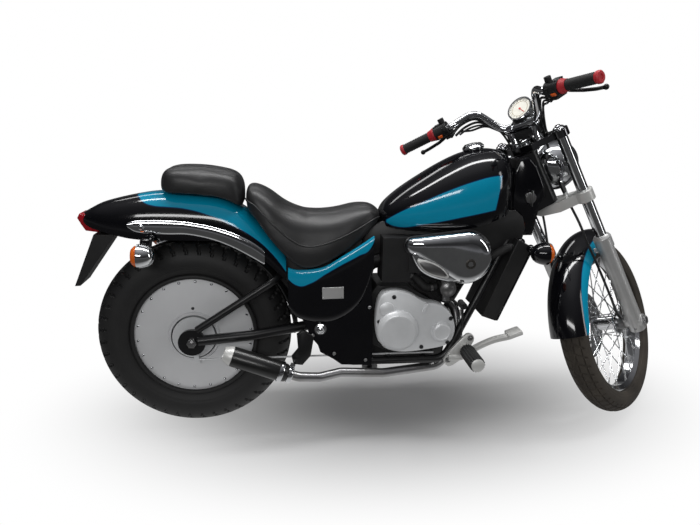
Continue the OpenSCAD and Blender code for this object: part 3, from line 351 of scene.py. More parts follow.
FINISH["amber_lens"] = glassy_material("amber_lens", (0.85, 0.16, 0.012), 0.25, 0.12)
FINISH["red_lens"] = glassy_material("red_lens", (0.38, 0.008, 0.016), 0.2, 0.1)
FINISH["lamp_glass"] = glassy_material("lamp_glass", (0.8, 0.82, 0.84), 0.3, 0.05)


# Mesh makers. Shapes are given in millimetres and put in place by one of the frames above.
# Points closer than WELD, in millimetres, become one.
WELD = 0.01


def new_piece(name, mesh, body, finish=None, node=None):
    """Links a mesh as a finished piece on its body; it may stand for a CAD node."""
    piece = bpy.data.objects.new(name, mesh)
    scene.collection.objects.link(piece)
    if finish:
        mesh.materials.clear()
        mesh.materials.append(FINISH[finish])
    if node:
        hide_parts(*([node] if isinstance(node, str) else node))
    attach(piece, body)
    return piece


def mark_smooth(mesh, angle=38):
    """Smooth shading, with edges sharper than the angle kept crisp."""
    work = bmesh.new()
    work.from_mesh(mesh)
    for face in work.faces:
        face.smooth = True
    for edge in work.edges:
        edge.smooth = len(edge.link_faces) != 2 or edge.calc_face_angle(0) < math.radians(angle)
    work.to_mesh(mesh)
    work.free()
    return mesh


def mesh_from(name, points, faces, place, angle=38):
    """A closed mesh from points in millimetres, placed in the row frame, facing outwards."""
    mesh = bpy.data.meshes.new(name)
    work = bmesh.new()
    corners = [work.verts.new(p) for p in points]
    for face in faces:
        if len(set(face)) > 2:
            try:
                work.faces.new([corners[i] for i in face])
            except ValueError:
                pass
    bmesh.ops.remove_doubles(work, verts=work.verts, dist=WELD)
    bmesh.ops.recalc_face_normals(work, faces=work.faces)
    work.to_mesh(mesh)
    work.free()
    mesh.transform(place)
    return mark_smooth(mesh, angle)


def add_shape(name, shape, place, body, finish, node=None, angle=38):
    """A shape made into a finished piece."""
    return new_piece(name, mesh_from(name, *shape, place, angle), body, finish, node)


def loft(rings, caps=True):
    """Points and faces of a skin through closed rings of equal counts."""
    count = len(rings[0])
    points = [p for ring in rings for p in ring]
    faces = []
    for i in range(len(rings) - 1):
        for j in range(count):
            k = (j + 1) % count
            faces.append((i * count + j, i * count + k, (i + 1) * count + k, (i + 1) * count + j))
    if caps:
        faces.append(tuple(range(count))[::-1])
        faces.append(tuple((len(rings) - 1) * count + j for j in range(count)))
    return points, faces


def revolve(profile, steps=64, axis="Y"):
    """Points and faces of a profile (radius, height) turned about an axis through the origin."""
    rings = []
    for i in range(steps):
        a = 2 * math.pi * i / steps
        ring = []
        for r, h in profile:
            if axis == "Y":
                ring.append((r * math.cos(a), h, r * math.sin(a)))
            elif axis == "Z":
                ring.append((r * math.cos(a), r * math.sin(a), h))
            else:
                ring.append((h, r * math.cos(a), r * math.sin(a)))
        rings.append(ring)
    return loft(rings + [rings[0]], caps=False)


def smooth_line(points, steps):
    """Catmull-Rom line through the points, with that many steps between each two."""
    line = []
    padded = [points[0]] + list(points) + [points[-1]]
    for i in range(1, len(padded) - 2):
        a, b, c, d = (Vector(p) for p in padded[i - 1:i + 3])
        for k in range(steps):
            t = k / steps
            line.append(0.5 * (2 * b + (c - a) * t + (2 * a - 5 * b + 4 * c - d) * t * t
                               + (3 * b - a - 3 * c + d) * t ** 3))
    line.append(Vector(points[-1]))
    return line


def rounded_path(points, bend, steps=8):
    """A path whose corners are arcs of the bend radius."""
    path = [Vector(points[0])]
    for i in range(1, len(points) - 1):
        p = Vector(points[i])
        into = (p - Vector(points[i - 1])).normalized()
        out = (Vector(points[i + 1]) - p).normalized()
        angle = into.angle(out)
        if angle < 0.03:
            path.append(p)
            continue
        side = (out - out.dot(into) * into).normalized()
        start = p - into * bend * math.tan(angle / 2)
        centre = start + side * bend
        for k in range(steps + 1):
            t = angle * k / steps
            path.append(centre + bend * (into * math.sin(t) - side * math.cos(t)))
    path.append(Vector(points[-1]))
    return path


def tube_rings(path, radii, sides=20):
    """Rings of a round tube along a path; radii is one number or one for each point."""
    last = len(path) - 1
    if isinstance(radii, (int, float)):
        radii = [radii] * (last + 1)
    normal = None
    rings = []
    for i, p in enumerate(path):
        heading = (path[min(i + 1, last)] - path[max(i - 1, 0)]).normalized()
        if normal is None:
            normal = heading.cross(Vector((0, 0, 1)) if abs(heading.z) < 0.9
                                   else Vector((0, 1, 0))).normalized()
        normal = (normal - normal.dot(heading) * heading).normalized()
        other = heading.cross(normal)
        rings.append([p + radii[i] * (normal * math.cos(2 * math.pi * k / sides)
                                      + other * math.sin(2 * math.pi * k / sides)) for k in range(sides)])
    return rings


def merge_shapes(shapes):
    """One list of points and faces from several."""
    points, faces = [], []
    for more_points, more_faces in shapes:
        base = len(points)
        points += list(more_points)
        faces += [tuple(base + i for i in face) for face in more_faces]
    return points, faces


def tube_shape(points, radius, bend=40, sides=20):
    """A round tube through the points, with bent corners."""
    return loft(tube_rings(rounded_path(points, bend), radius, sides))


def moved(shape, matrix):
    """The same shape, turned and moved."""
    points, faces = shape
    return [matrix @ Vector(p) for p in points], faces


def mirrored(shape):
    """The same shape on the other side of the machine."""
    points, faces = shape
    return [(p[0], -p[1], p[2]) for p in points], [tuple(reversed(f)) for f in faces]


def both_sides(shape):
    """A shape and its mirror image, as one."""
    return merge_shapes([shape, mirrored(shape)])


def along(start, direction):
    """Matrix that puts Z along a direction from a start point."""
    return Matrix.Translation(start) @ Vector(direction).to_track_quat("Z", "Y").to_matrix().to_4x4()


def facing(x, y, z, side=-1):
    """Matrix to a point of the machine's side, with Z pointing out to that side."""
    return spot_at(x, y, z) @ turn_by(-90 * side, "X")


def block_shape(size, cut=0.15):
    """A block with chamfered edges."""
    work = bmesh.new()
    bmesh.ops.create_cube(work, size=1.0)
    bmesh.ops.scale(work, vec=size, verts=work.verts)
    bmesh.ops.bevel(work, geom=list(work.edges), offset=cut * min(size), segments=2, affect="EDGES",
                    profile=0.6)
    work.verts.index_update()
    shape = [tuple(v.co) for v in work.verts], [tuple(v.index for v in f.verts) for f in work.faces]
    work.free()
    return shape


def outline_plate(outline, low, high, rim=3.0):
    """A plate with a side outline in X and Z between two Y values, its edges rounded over by the rim."""
    centre = (sum(p[0] for p in outline) / len(outline), sum(p[1] for p in outline) / len(outline))

    def inset(amount):
        ring = []
        for x, z in outline:
            away = Vector((x - centre[0], z - centre[1]))
            reach = away.length
            scaled = away * (max(reach - amount, 0.1) / reach)
            ring.append((centre[0] + scaled.x, centre[1] + scaled.y))
        return ring

    levels = [(low, rim), (low + 0.3 * rim, 0.3 * rim), (low + rim, 0), (high - rim, 0),
              (high - 0.3 * rim, 0.3 * rim), (high, rim)]
    return loft([[(x, y, z) for x, z in inset(amount)] for y, amount in levels])


def copy_node(name, finish, angle=42, bevel=0.0):
    """A smooth-shaded copy of a CAD node, with its edges eased, that stands for it."""
    source = frame["nodes"][name]
    mesh = source.data.copy()
    work = bmesh.new()
    work.from_mesh(mesh)
    bmesh.ops.remove_doubles(work, verts=work.verts, dist=1e-5)
    bmesh.ops.dissolve_limit(work, angle_limit=math.radians(1.0), verts=work.verts, edges=work.edges)
    work.to_mesh(mesh)
    work.free()
    mark_smooth(mesh, angle)
    piece = new_piece(name + "_finished", mesh, source["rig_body"], finish, name)
    if bevel:
        ease = piece.modifiers.new("eased_edges", "BEVEL")
        ease.width = bevel * MM
        ease.segments = 2
        ease.limit_method = "ANGLE"
        ease.angle_limit = math.radians(angle)
        ease.harden_normals = False
    return piece


# Geometry Nodes for what repeats: one shape set on many points, each point turned its own way
def build_repeat_tree():
    """Tree that sets a shape on points and gives the whole one finish."""
    tree = bpy.data.node_groups.new("set_on_points", "GeometryNodeTree")
    for label, way, kind in (("Geometry", "INPUT", "Geometry"), ("Shape", "INPUT", "Object"),
                             ("Finish", "INPUT", "Material"), ("Geometry", "OUTPUT", "Geometry")):
        tree.interface.new_socket(label, in_out=way, socket_type="NodeSocket" + kind)
    source = tree.nodes.new("NodeGroupInput")
    result = tree.nodes.new("NodeGroupOutput")
    shape = tree.nodes.new("GeometryNodeObjectInfo")
    shape.inputs["As Instance"].default_value = True
    turn = tree.nodes.new("GeometryNodeInputNamedAttribute")
    turn.data_type = "FLOAT_VECTOR"
    turn.inputs["Name"].default_value = "turn"
    as_rotation = tree.nodes.new("FunctionNodeEulerToRotation")
    placed = tree.nodes.new("GeometryNodeInstanceOnPoints")
    real = tree.nodes.new("GeometryNodeRealizeInstances")
    dressed = tree.nodes.new("GeometryNodeSetMaterial")
    link = tree.links.new
    link(source.outputs["Geometry"], placed.inputs["Points"])
    link(source.outputs["Shape"], shape.inputs["Object"])
    link(shape.outputs["Geometry"], placed.inputs["Instance"])
    link(turn.outputs["Attribute"], as_rotation.inputs["Euler"])
    link(as_rotation.outputs["Rotation"], placed.inputs["Rotation"])
    link(placed.outputs["Instances"], real.inputs["Geometry"])
    link(real.outputs["Geometry"], dressed.inputs["Geometry"])
    link(source.outputs["Finish"], dressed.inputs["Material"])
    link(dressed.outputs["Geometry"], result.inputs["Geometry"])
    return tree


REPEAT = build_repeat_tree()


def repeat(name, shape, spots, place, body, finish, node=None, angle=38):
    """Sets a shape on spots; a spot is a 4x4 matrix in millimetres within the place frame."""
    form = bpy.data.objects.new(name + "_form",
                                mesh_from(name + "_form", *shape, Matrix.Scale(MM, 4), angle))
    scene.collection.objects.link(form)
    spots_mesh = bpy.data.meshes.new(name + "_spots")
    turned = [place @ spot for spot in spots]
    spots_mesh.from_pydata([m.to_translation() for m in turned], [], [])
    layer = spots_mesh.attributes.new("turn", "FLOAT_VECTOR", "POINT")
    for item, m in zip(layer.data, turned):
        item.vector = m.to_3x3().normalized().to_euler()
    holder = bpy.data.objects.new(name + "_spots", spots_mesh)
    scene.collection.objects.link(holder)
    nodes_modifier = holder.modifiers.new("set_on_points", "NODES")
    nodes_modifier.node_group = REPEAT
    values = {"Shape": form, "Finish": FINISH[finish]}
    for item in REPEAT.interface.items_tree:
        if item.in_out == "INPUT" and item.name in values:
            nodes_modifier[item.identifier] = values[item.name]
    bpy.context.view_layer.update()
    graph = bpy.context.evaluated_depsgraph_get()
    made = bpy.data.meshes.new_from_object(holder.evaluated_get(graph))
    made.name = name
    bpy.data.objects.remove(holder)
    bpy.data.objects.remove(form)
    return new_piece(name, made, body, None, node)


def ring_spots(count, radius, height, start):
    """Spots round the Y axis, each with Z pointing out to the side that the height is on."""
    side = 1 if height >= 0 else -1
    angles = [2 * math.pi * i / count + start for i in range(count)]
    return [facing(radius * math.cos(a), height, radius * math.sin(a), side) for a in angles]


def round_head(radius, height, steps=12):
    """A domed head along Z: a rivet, cap screw or button."""
    profile = [(0.0, 0.0), (radius, 0.0), (radius, 0.25 * height), (0.85 * radius, 0.7 * height),
               (0.5 * radius, 0.95 * height), (0.0, height)]
    return revolve(profile, steps, "Z")


def hex_head(across_corners, height):
    """A hexagon head with a washer under it and a chamfered top."""
    washer = revolve([(0, 0), (1.25 * across_corners, 0), (1.25 * across_corners, 0.2 * height),
                      (0, 0.2 * height)], 20, "Z")
    hexagon = revolve([(0, 0.2 * height), (across_corners, 0.2 * height), (across_corners, 0.86 * height),
                       (0.86 * across_corners, height), (0, height)], 6, "Z")
    return merge_shapes([washer, hexagon])


# Floor and light: a white floor that runs to the horizon, and a dim hall with strip lamps to reflect
def lay_floor():
    """White floor with a painted shadow: a dark base colour in an ellipse under the machine, where the
    rendered shadow also falls.
    """
    size = 40.0
    mesh = bpy.data.meshes.new("studio_floor")
    mesh.from_pydata([(-size, -size, 0), (size, -size, 0), (size, size, 0), (-size, size, 0)], [],
                     [(0, 1, 2, 3)])
    floor = bpy.data.objects.new("studio_floor", mesh)
    scene.collection.objects.link(floor)
    pale = bpy.data.materials.new("pale_floor")
    pale.use_nodes = True
    tree = pale.node_tree
    shader = tree.nodes["Principled BSDF"]
    # The dark base colour is a painted shadow under the machine, seen where the floor is not turned white
    shader.inputs["Base Color"].default_value = (0.3, 0.3, 0.303, 1)
    shader.inputs["Roughness"].default_value = 0.9
    shader.inputs["Specular IOR Level"].default_value = 0.1
    # Away from the machine the floor is plain white to the camera; inside the ellipse its dark base colour
    # is a painted shadow, over the rendered one.
    # In reflections it is an emission, a painted reflection, bright close by and dark towards the horizon
    place = add_node(tree, "ShaderNodeTexCoord")
    spread = add_node(tree, "ShaderNodeMapping")
    spread.inputs["Scale"].default_value = (0.72, 1.55, 1.0)
    far = add_node(tree, "ShaderNodeVectorMath", operation="LENGTH")
    painted_shadow_fade = add_node(tree, "ShaderNodeMapRange", interpolation_type="SMOOTHSTEP")
    painted_shadow_fade.inputs["From Min"].default_value = 0.1
    painted_shadow_fade.inputs["From Max"].default_value = 0.95
    seen = add_node(tree, "ShaderNodeLightPath")
    white = add_node(tree, "ShaderNodeEmission")
    dim = add_node(tree, "ShaderNodeEmission")
    # Painted reflection: to glossy rays the floor glows, strongest close to the machine and fading towards
    # the horizon
    painted_reflection_strength = add_node(tree, "ShaderNodeMapRange", interpolation_type="SMOOTHSTEP")
    for socket, value in (("From Min", 0.3), ("From Max", 1.7), ("To Min", 0.62), ("To Max", 0.06)):
        painted_reflection_strength.inputs[socket].default_value = value
    pick = add_node(tree, "ShaderNodeMixShader")
    reflected = add_node(tree, "ShaderNodeMixShader")
    link = tree.links.new
    link(place.outputs["Object"], spread.inputs["Vector"])
    link(spread.outputs["Vector"], far.inputs[0])
    link(far.outputs["Value"], painted_shadow_fade.inputs["Value"])
    link(far.outputs["Value"], painted_reflection_strength.inputs["Value"])
    link(painted_reflection_strength.outputs["Result"], dim.inputs["Strength"])
    looked_at = math_node(tree, "MAXIMUM", seen.outputs["Is Camera Ray"],
                          seen.outputs["Is Transmission Ray"])
    link(math_node(tree, "MULTIPLY", painted_shadow_fade.outputs["Result"], looked_at), pick.inputs["Fac"])
    link(shader.outputs["BSDF"], pick.inputs[1])
    link(white.outputs["Emission"], pick.inputs[2])
    link(seen.outputs["Is Glossy Ray"], reflected.inputs["Fac"])
    link(pick.outputs["Shader"], reflected.inputs[1])
    link(dim.outputs["Emission"], reflected.inputs[2])
    link(reflected.outputs["Shader"], tree.nodes["Material Output"].inputs["Surface"])
    mesh.materials.append(pale)


def light_room():
    """Even light from all round; white to the camera, a dim hall in reflections."""
    world = bpy.data.worlds.new("bright_room")
    scene.world = world
    world.use_nodes = True
    tree = world.node_tree
    sky = tree.nodes["Background"]
    sky.inputs["Color"].default_value = (1, 1, 1, 1)
    sky.inputs["Strength"].default_value = 0.4
    place = add_node(tree, "ShaderNodeTexCoord")
    split = add_node(tree, "ShaderNodeSeparateXYZ")
    # Brightness of the hall by height, as the paint and chrome mirror it
    ramp = add_node(tree, "ShaderNodeValToRGB")
    ramp.color_ramp.elements[0].position = 0.0
    ramp.color_ramp.elements[0].color = (0.16, 0.16, 0.17, 1)
    ramp.color_ramp.elements[1].position = 1.0
    ramp.color_ramp.elements[1].color = (0.5, 0.5, 0.52, 1)
    for position, grey in ((0.05, 0.05), (0.16, 0.02), (0.45, 0.05), (0.8, 0.2)):
        stop = ramp.color_ramp.elements.new(position)
        stop.color = (grey, grey, grey * 1.05, 1)
    hall = add_node(tree, "ShaderNodeBackground")
    plain = add_node(tree, "ShaderNodeBackground")
    plain.inputs["Color"].default_value = (1, 1, 1, 1)
    seen = add_node(tree, "ShaderNodeLightPath")
    mirrored_hall = add_node(tree, "ShaderNodeMixShader")
    pick = add_node(tree, "ShaderNodeMixShader")
    link = tree.links.new
    link(place.outputs["Generated"], split.inputs["Vector"])
    link(split.outputs["Z"], ramp.inputs["Fac"])
    link(ramp.outputs["Color"], hall.inputs["Color"])
    link(seen.outputs["Is Glossy Ray"], mirrored_hall.inputs["Fac"])
    link(sky.outputs["Background"], mirrored_hall.inputs[1])
    link(hall.outputs["Background"], mirrored_hall.inputs[2])
    link(seen.outputs["Is Camera Ray"], pick.inputs["Fac"])
    link(mirrored_hall.outputs["Shader"], pick.inputs[1])
    link(plain.outputs["Background"], pick.inputs[2])
    link(pick.outputs["Shader"], tree.nodes["World Output"].inputs["Surface"])


def hang_lamp(name, at, target, size, watts):
    """A strip lamp at a place, aimed at a target."""
    data = bpy.data.lights.new(name, "AREA")
    data.shape = "RECTANGLE"
    data.size, data.size_y = size
    data.energy = watts
    lamp = bpy.data.objects.new(name, data)
    lamp.matrix_world = (Matrix.Translation(at)
                         @ (Vector(target) - Vector(at)).to_track_quat("-Z", "Y").to_matrix().to_4x4())
    scene.collection.objects.link(lamp)


lay_floor()
light_room()
# Rows: name, place, aim, size, watts
for lamp_row in (("overhead_strip", (0.0, 0.5, 4.2), (0, 0, 0.3), (5.0, 0.5), 150),
                 ("near_strip", (-1.4, -4.2, 2.8), (-0.1, 0, 0.5), (3.4, 0.45), 62),
                 ("front_strip", (3.6, -1.8, 2.0), (0.4, 0, 0.6), (0.4, 2.2), 16),
                 ("far_strip", (-0.8, 3.4, 3.0), (0, 0, 0.6), (4.0, 0.5), 24)):
    hang_lamp(*lamp_row)
scene.view_settings.view_transform = "Standard"


# Bodywork: shells through rows of X, lower edge, top and share of the half width, as the CAD has them
def signed_power(value, exponent):
    """A power that keeps the sign, for squared-off rounds."""
    return math.copysign(abs(value) ** exponent, value)


def arch(half_width, edge, top, exponent, tuck, count):
    """Points (y, z) of an arch from one lower edge over the top to the other; tuck turns the edges in."""
    lean = math.radians(tuck)
    low = signed_power(math.sin(lean), exponent)
    height = (top - edge) / (1 + low)
    middle = edge + height * low
    line = []
    for i in range(count + 1):
        a = -lean + (math.pi + 2 * lean) * i / count
        line.append((half_width * signed_power(math.cos(a), exponent),
                     middle + height * signed_power(math.sin(a), exponent)))
    return line


def shell_rings(rows, half_width, exponent, tuck, inner, steps=6, count=44):
    """Closed rings across X: the outer arch, then an inner arch back below it."""
    rings = []
    for x, edge, top, share in smooth_line(rows, steps):
        outer = arch(share * half_width, edge, top, exponent, tuck, count)
        in_width, in_top = inner(x, edge, top, share)
        under = arch(in_width, edge, in_top, 1.0, 0, count)
        rings.append([(x, y, z) for y, z in outer] + [(x, y, z) for y, z in reversed(under)])
    return rings


def arch_loft(rings):
    """Faces of a shell whose end rings are closed by strips between the two arches."""
    points, faces = loft(rings, caps=False)
    count = len(rings[0])
    half = count // 2
    for base, turn in ((0, True), ((len(rings) - 1) * count, False)):
        for i in range(half - 1):
            strip = (base + i, base + i + 1, base + count - 2 - i, base + count - 1 - i)
            faces.append(strip if turn else strip[::-1])
    return points, faces


def add_side_map(mesh, place):
    """Stores X and Z of the upright machine, over SPAN, as the side map of a painted shell."""
    back = place.inverted()
    layer = mesh.uv_layers.new(name="side")
    for loop in mesh.loops:
        p = back @ mesh.vertices[loop.vertex_index].co
        layer.data[loop.index].uv = (p.x / SPAN, p.z / SPAN)


def shell_piece(name, shape, place, body, material, node):
    """A painted shell that stands for a CAD node."""
    mesh = mesh_from(name, *shape, place, angle=50)
    add_side_map(mesh, place)
    piece = new_piece(name, mesh, body, None, node)
    mesh.materials.append(material)
    return piece


TANK_HALF, SEAT_HALF, PAD_HALF, FENDER_HALF = 134, 128, 98, 96
# The frame's top tube under the tank: X and Z of its line, and its radius
BACKBONE = [(430, 556), (560, 606), (860, 712), (1040, 782)]
BACKBONE_R = 17.5


def backbone_top(x):
    """Height of the tube's top at X."""
    for (x0, z0), (x1, z1) in zip(BACKBONE, BACKBONE[1:]):
        if x <= x1:
            return z0 + (z1 - z0) * (x - x0) / (x1 - x0) + BACKBONE_R
    return BACKBONE[-1][1] + BACKBONE_R


TANK_ROWS = [(584, 678, 700, 0.2), (588, 672, 708, 0.36), (606, 664, 736, 0.54), (650, 661, 774, 0.72),
             (710, 660, 815, 0.87), (780, 662, 858, 0.96), (846, 668, 890, 1), (905, 682, 904, 0.98),
             (950, 698, 904, 0.88), (980, 708, 892, 0.7), (1000, 738, 862, 0.45), (1004, 770, 836, 0.2)]
TANK_UPPER = [(598, 684), (640, 714), (685, 738), (776, 783), (871, 818), (915, 828), (950, 830)]
TANK_LOWER = [(598, 680), (629, 668), (717, 682), (834, 708), (900, 722), (950, 732)]


def tank_teal(tree):
    """The leaf-shaped panel on each flank of the tank: between two lines, behind a leaning edge."""
    x, z = side_place(tree)
    under_top = math_node(tree, "SUBTRACT", curve_through(tree, x, TANK_UPPER), z)
    over_low = math_node(tree, "SUBTRACT", z, curve_through(tree, x, TANK_LOWER))
    front = math_node(tree, "SUBTRACT", 928.0, math_node(tree, "SUBTRACT", x, math_node(
        tree, "MULTIPLY", math_node(tree, "SUBTRACT", z, 732.0), 0.16)))
    rear = math_node(tree, "SUBTRACT", x, 601.0)
    return math_node(tree, "MINIMUM", math_node(tree, "MINIMUM", under_top, over_low),
                     math_node(tree, "MINIMUM", front, rear))


def tank_tunnel(x, edge, top, share):
    """Half width and top of the hollow that clears the tube under the tank."""
    return min(46, max(share * TANK_HALF - 8, 4)), max(edge + 8, min(backbone_top(x) + 0.3, top - 6))


shell_piece("tank_shell", arch_loft(shell_rings(TANK_ROWS, TANK_HALF, 0.8, 28, tank_tunnel)), CHASSIS,
            "chassis", painted_material("tank_paint", tank_teal), "fuel_tank")

FENDER_ROWS = [(-322, 676, 694, 0.3), (-300, 660, 708, 0.5), (-256, 648, 729, 0.72),
               (-173, 630, 750, 0.9), (-95, 626, 762, 0.98), (0, 626, 763, 1), (90, 622, 752, 1),
               (160, 604, 716, 1), (220, 566, 666, 1), (290, 500, 582, 1)]
FENDER_BAND_LOW = [(-330, 800), (-152, 752), (-126, 735), (-100, 728), (-60, 725), (-13, 721), (53, 705),
                   (119, 677), (186, 640), (240, 593), (292, 525)]


def fender_teal(tree):
    """The band along the fender's shoulder, from a point near the tail down to the side cover."""
    x, z = side_place(tree)
    over_low = math_node(tree, "SUBTRACT", z, curve_through(tree, x, FENDER_BAND_LOW))
    ahead_of_tail = math_node(tree, "SUBTRACT", x, -154.0)
    return math_node(tree, "MINIMUM", over_low, ahead_of_tail)


shell_piece("rear_fender_shell", arch_loft(shell_rings(
    FENDER_ROWS, FENDER_HALF, 0.7, 0, lambda x, edge, top, share: (share * FENDER_HALF - 4, top - 4))),
    CHASSIS, "chassis", painted_material("fender_paint", fender_teal), "rear_fender")

COVER_ROWS = [(296, 420, 548), (330, 385, 540), (400, 372, 548), (460, 386, 582), (520, 440, 620),
              (556, 540, 646)]
COVER_IN, COVER_OUT = 118, 132
COVER_BAND_LOW = [(290, 522), (328, 493), (364, 501), (411, 530), (460, 559), (509, 586), (545, 610),
                  (562, 654)]


def cover_teal(tree):
    """The strip under the seat, on the side cover's upper edge."""
    x, z = side_place(tree)
    return math_node(tree, "SUBTRACT", z, curve_through(tree, x, COVER_BAND_LOW))


def side_panel(rows, inner, outer, hollow=0.5, count=30, steps=6):
    """A bulged panel on the left: rows of X, lower edge and upper edge, between two Y values."""
    rings = []
    for x, low, high in smooth_line(rows, steps):
        middle, half = (low + high) / 2, (high - low) / 2
        ring = []
        for k in range(count + 1):
            a = math.pi * k / count - math.pi / 2
            ring.append((x, inner + (outer - inner) * abs(math.cos(a)) ** hollow,
                         middle + half * signed_power(math.sin(a), 0.8)))
        rings.append(ring)
    return loft(rings)


cover = side_panel(COVER_ROWS, COVER_IN, COVER_OUT)
shell_piece("side_cover_shells", both_sides(cover), CHASSIS, "chassis",
            painted_material("side_cover_paint", cover_teal), "side_covers")

RAIL_ROWS = [(-172, 670, 677), (-168, 664, 682), (-140, 650, 688), (-60, 645, 688), (0, 644, 684),
             (70, 629, 671), (130, 605, 652), (186, 574, 626), (222, 552, 600), (225, 556, 594)]
rail = side_panel(RAIL_ROWS, 96.3, 107.3, 0.6)
add_shape("chrome_fender_rails", both_sides(rail), CHASSIS, "chassis", "chrome", "fender_rails",
          angle=50)
# A domed screw holds each rail near its tail end, where the indicator's stalk comes through
repeat("rail_screws", round_head(9, 5), [facing(-132, s * 107, 668, s) for s in (-1, 1)], CHASSIS,
       "chassis", "chrome")


# Seats: leather over foam, with a welt along the seam
SEAT_ROWS = [(168, 735, 768, 0.42), (176, 712, 784, 0.66), (200, 688, 786, 0.82), (240, 634, 764, 0.95),
             (290, 579, 728, 1), (340, 544, 708, 1), (390, 549, 703, 0.99), (450, 579, 709, 0.95),
             (510, 617, 724, 0.84), (556, 657, 727, 0.64), (586, 682, 709, 0.36)]
PAD_ROWS = [(-85, 770, 802, 0.32), (-79, 764, 818, 0.58), (-66, 763, 834, 0.82), (-40, 763, 841, 0.95),
            (0, 763, 843, 1), (50, 758, 841, 1), (90, 753, 836, 0.98), (132, 736, 827, 0.93),
            (154, 723, 811, 0.8), (164, 723, 788, 0.5)]


def seam_line(rows, half_width, exponent, tuck, share_up, steps=6):
    """Points along a seat's flank at a share of its height, on the left side."""
    line = []
    for x, edge, top, share in smooth_line(rows, steps):
        flank = arch(share * half_width, edge, top, exponent, tuck, 120)
        height = edge + share_up * (top - edge)
        y, z = min((p for p in flank if p[0] > 0), key=lambda p: abs(p[1] - height))
        line.append(Vector((x, y, z)))
    return line


# Foam, in metres: mesh size, how far the form is drawn in, and the most that Cloth may move it
FOAM_VOXEL, FOAM_SLACK, FOAM_SWELL = 0.005, 0.0015, 0.005
FOAM_PRESSURE, FOAM_FRAMES, FOAM_RUBS = 4.0, 20, 12
# Faces that look down more than this are held
FOAM_UNDERSIDE = -0.2


def puffed(mesh):
    """Leather over foam: the form is drawn in, meshed evenly and blown up a little by Cloth."""
    work = bpy.data.objects.new(mesh.name + "_work", mesh)
    scene.collection.objects.link(work)
    even_out = work.modifiers.new("even", "REMESH")
    even_out.mode = "VOXEL"
    even_out.voxel_size = FOAM_VOXEL
    ease = work.modifiers.new("ease", "SMOOTH")
    ease.iterations = 3
    even = bpy.data.meshes.new_from_object(work.evaluated_get(bpy.context.evaluated_depsgraph_get()))
    work.modifiers.clear()
    work.data = even
    start = [v.co - FOAM_SLACK * v.normal for v in even.vertices]
    under = [v.index for v in even.vertices if v.normal.z < FOAM_UNDERSIDE]
    even.vertices.foreach_set("co", [c for point in start for c in point])
    even.update()
    # The underside rests on the base, so Cloth leaves it where it is
    work.vertex_groups.new(name="held").add(under, 1.0, "REPLACE")
    cloth = work.modifiers.new("swell", "CLOTH")
    cloth.settings.vertex_group_mass = "held"
    cloth.settings.use_pressure = True
    cloth.settings.uniform_pressure_force = FOAM_PRESSURE
    cloth.settings.effector_weights.gravity = 0.0
    for frame_number in range(1, FOAM_FRAMES + 1):
        scene.frame_set(frame_number)
    full = bpy.data.meshes.new_from_object(work.evaluated_get(bpy.context.evaluated_depsgraph_get()))
    for vertex, rest in zip(full.vertices, start):
        move = vertex.co - rest
        vertex.co = rest + move * min(1.0, FOAM_SWELL / max(move.length, 1e-9))
    # Pinches from the solver are rubbed out
    rub = bmesh.new()
    rub.from_mesh(full)
    for _ in range(FOAM_RUBS):
        bmesh.ops.smooth_vert(rub, verts=rub.verts, factor=0.5, use_axis_x=True, use_axis_y=True,
                              use_axis_z=True)
    rub.to_mesh(full)
    rub.free()
    full.name = mesh.name
    scene.frame_set(1)
    bpy.data.objects.remove(work)
    mark_smooth(full, 180)
    return full


def seat_piece(name, rows, half_width, exponent, tuck, under, node, seam_share=None):
    """A padded seat, with a welt at a share of its height where one is given."""
    rings = shell_rings(rows, half_width, exponent, tuck, under)
    mesh = mesh_from(name, *arch_loft(rings), CHASSIS, 60)
    mesh = puffed(mesh)
    piece = new_piece(name, mesh, "chassis", "leather", node)
    if seam_share:
        line = seam_line(rows, half_width, exponent, tuck, seam_share)
        welt = loft(tube_rings(line[2:-2], 2.6, 10))
        add_shape(name + "_welt", both_sides(welt), CHASSIS, "chassis", "leather", angle=60)


def rider_hollow(x, edge, top, share):
    """Half width and top of the hollow under the rider's seat."""
    return share * SEAT_HALF * 0.78, max(edge + 8, top - 46)


def pillion_hollow(x, edge, top, share):
    """The pillion pad is almost flat underneath."""
    return share * PAD_HALF * 0.9, edge + 4


seat_piece("rider_seat_cover", SEAT_ROWS, SEAT_HALF, 0.62, 6, rider_hollow, "rider_seat", 0.44)
seat_piece("pillion_pad_cover", PAD_ROWS, PAD_HALF, 0.6, 10, pillion_hollow, "pillion_seat")


# Wheels: tyres with a cut tread, rivets on the disc wheel, nipples on the wire wheel
def tyre_shape(radius, width, rim, tread, steps, across):
    """A round tyre about Y. tread(turn, lean) gives the depth of the cuts, in millimetres."""
    half = width / 2
    centre = radius - half
    widest = math.pi - math.acos((centre - rim) / half)
    rings = []
    for i in range(steps):
        turn = 2 * math.pi * i / steps
        ring = []
        for k in range(across + 1):
            lean = -widest + 2 * widest * k / across
            reach = half - tread(turn, lean)
            r = centre + reach * math.cos(lean)
            ring.append((r * math.cos(turn), reach * math.sin(lean), r * math.sin(turn)))
        ring += [(rim, ring[-1][1] * 0.96, 0), (rim, ring[0][1] * 0.96, 0)]
        for j in (-2, -1):
            ring[j] = (rim * math.cos(turn), ring[j][1], rim * math.sin(turn))
        rings.append(ring)
    return loft(rings + [rings[0]], caps=False)


def cut(position, width):
    """1 inside a groove that repeats once per unit of position, 0 outside it."""
    return 1.0 if abs((position % 1.0) - 0.5) < width / 2 else 0.0


def sidewall_rings(lean):
    """Depth of the thin rings cut in the sidewall."""
    slope = abs(math.degrees(lean))
    return 0.9 * (cut(slope / 14, 0.12) if 82 < slope < 125 else 0)


# Rows of cuts round each tyre
REAR_LUGS, FRONT_LUGS = 44, 56


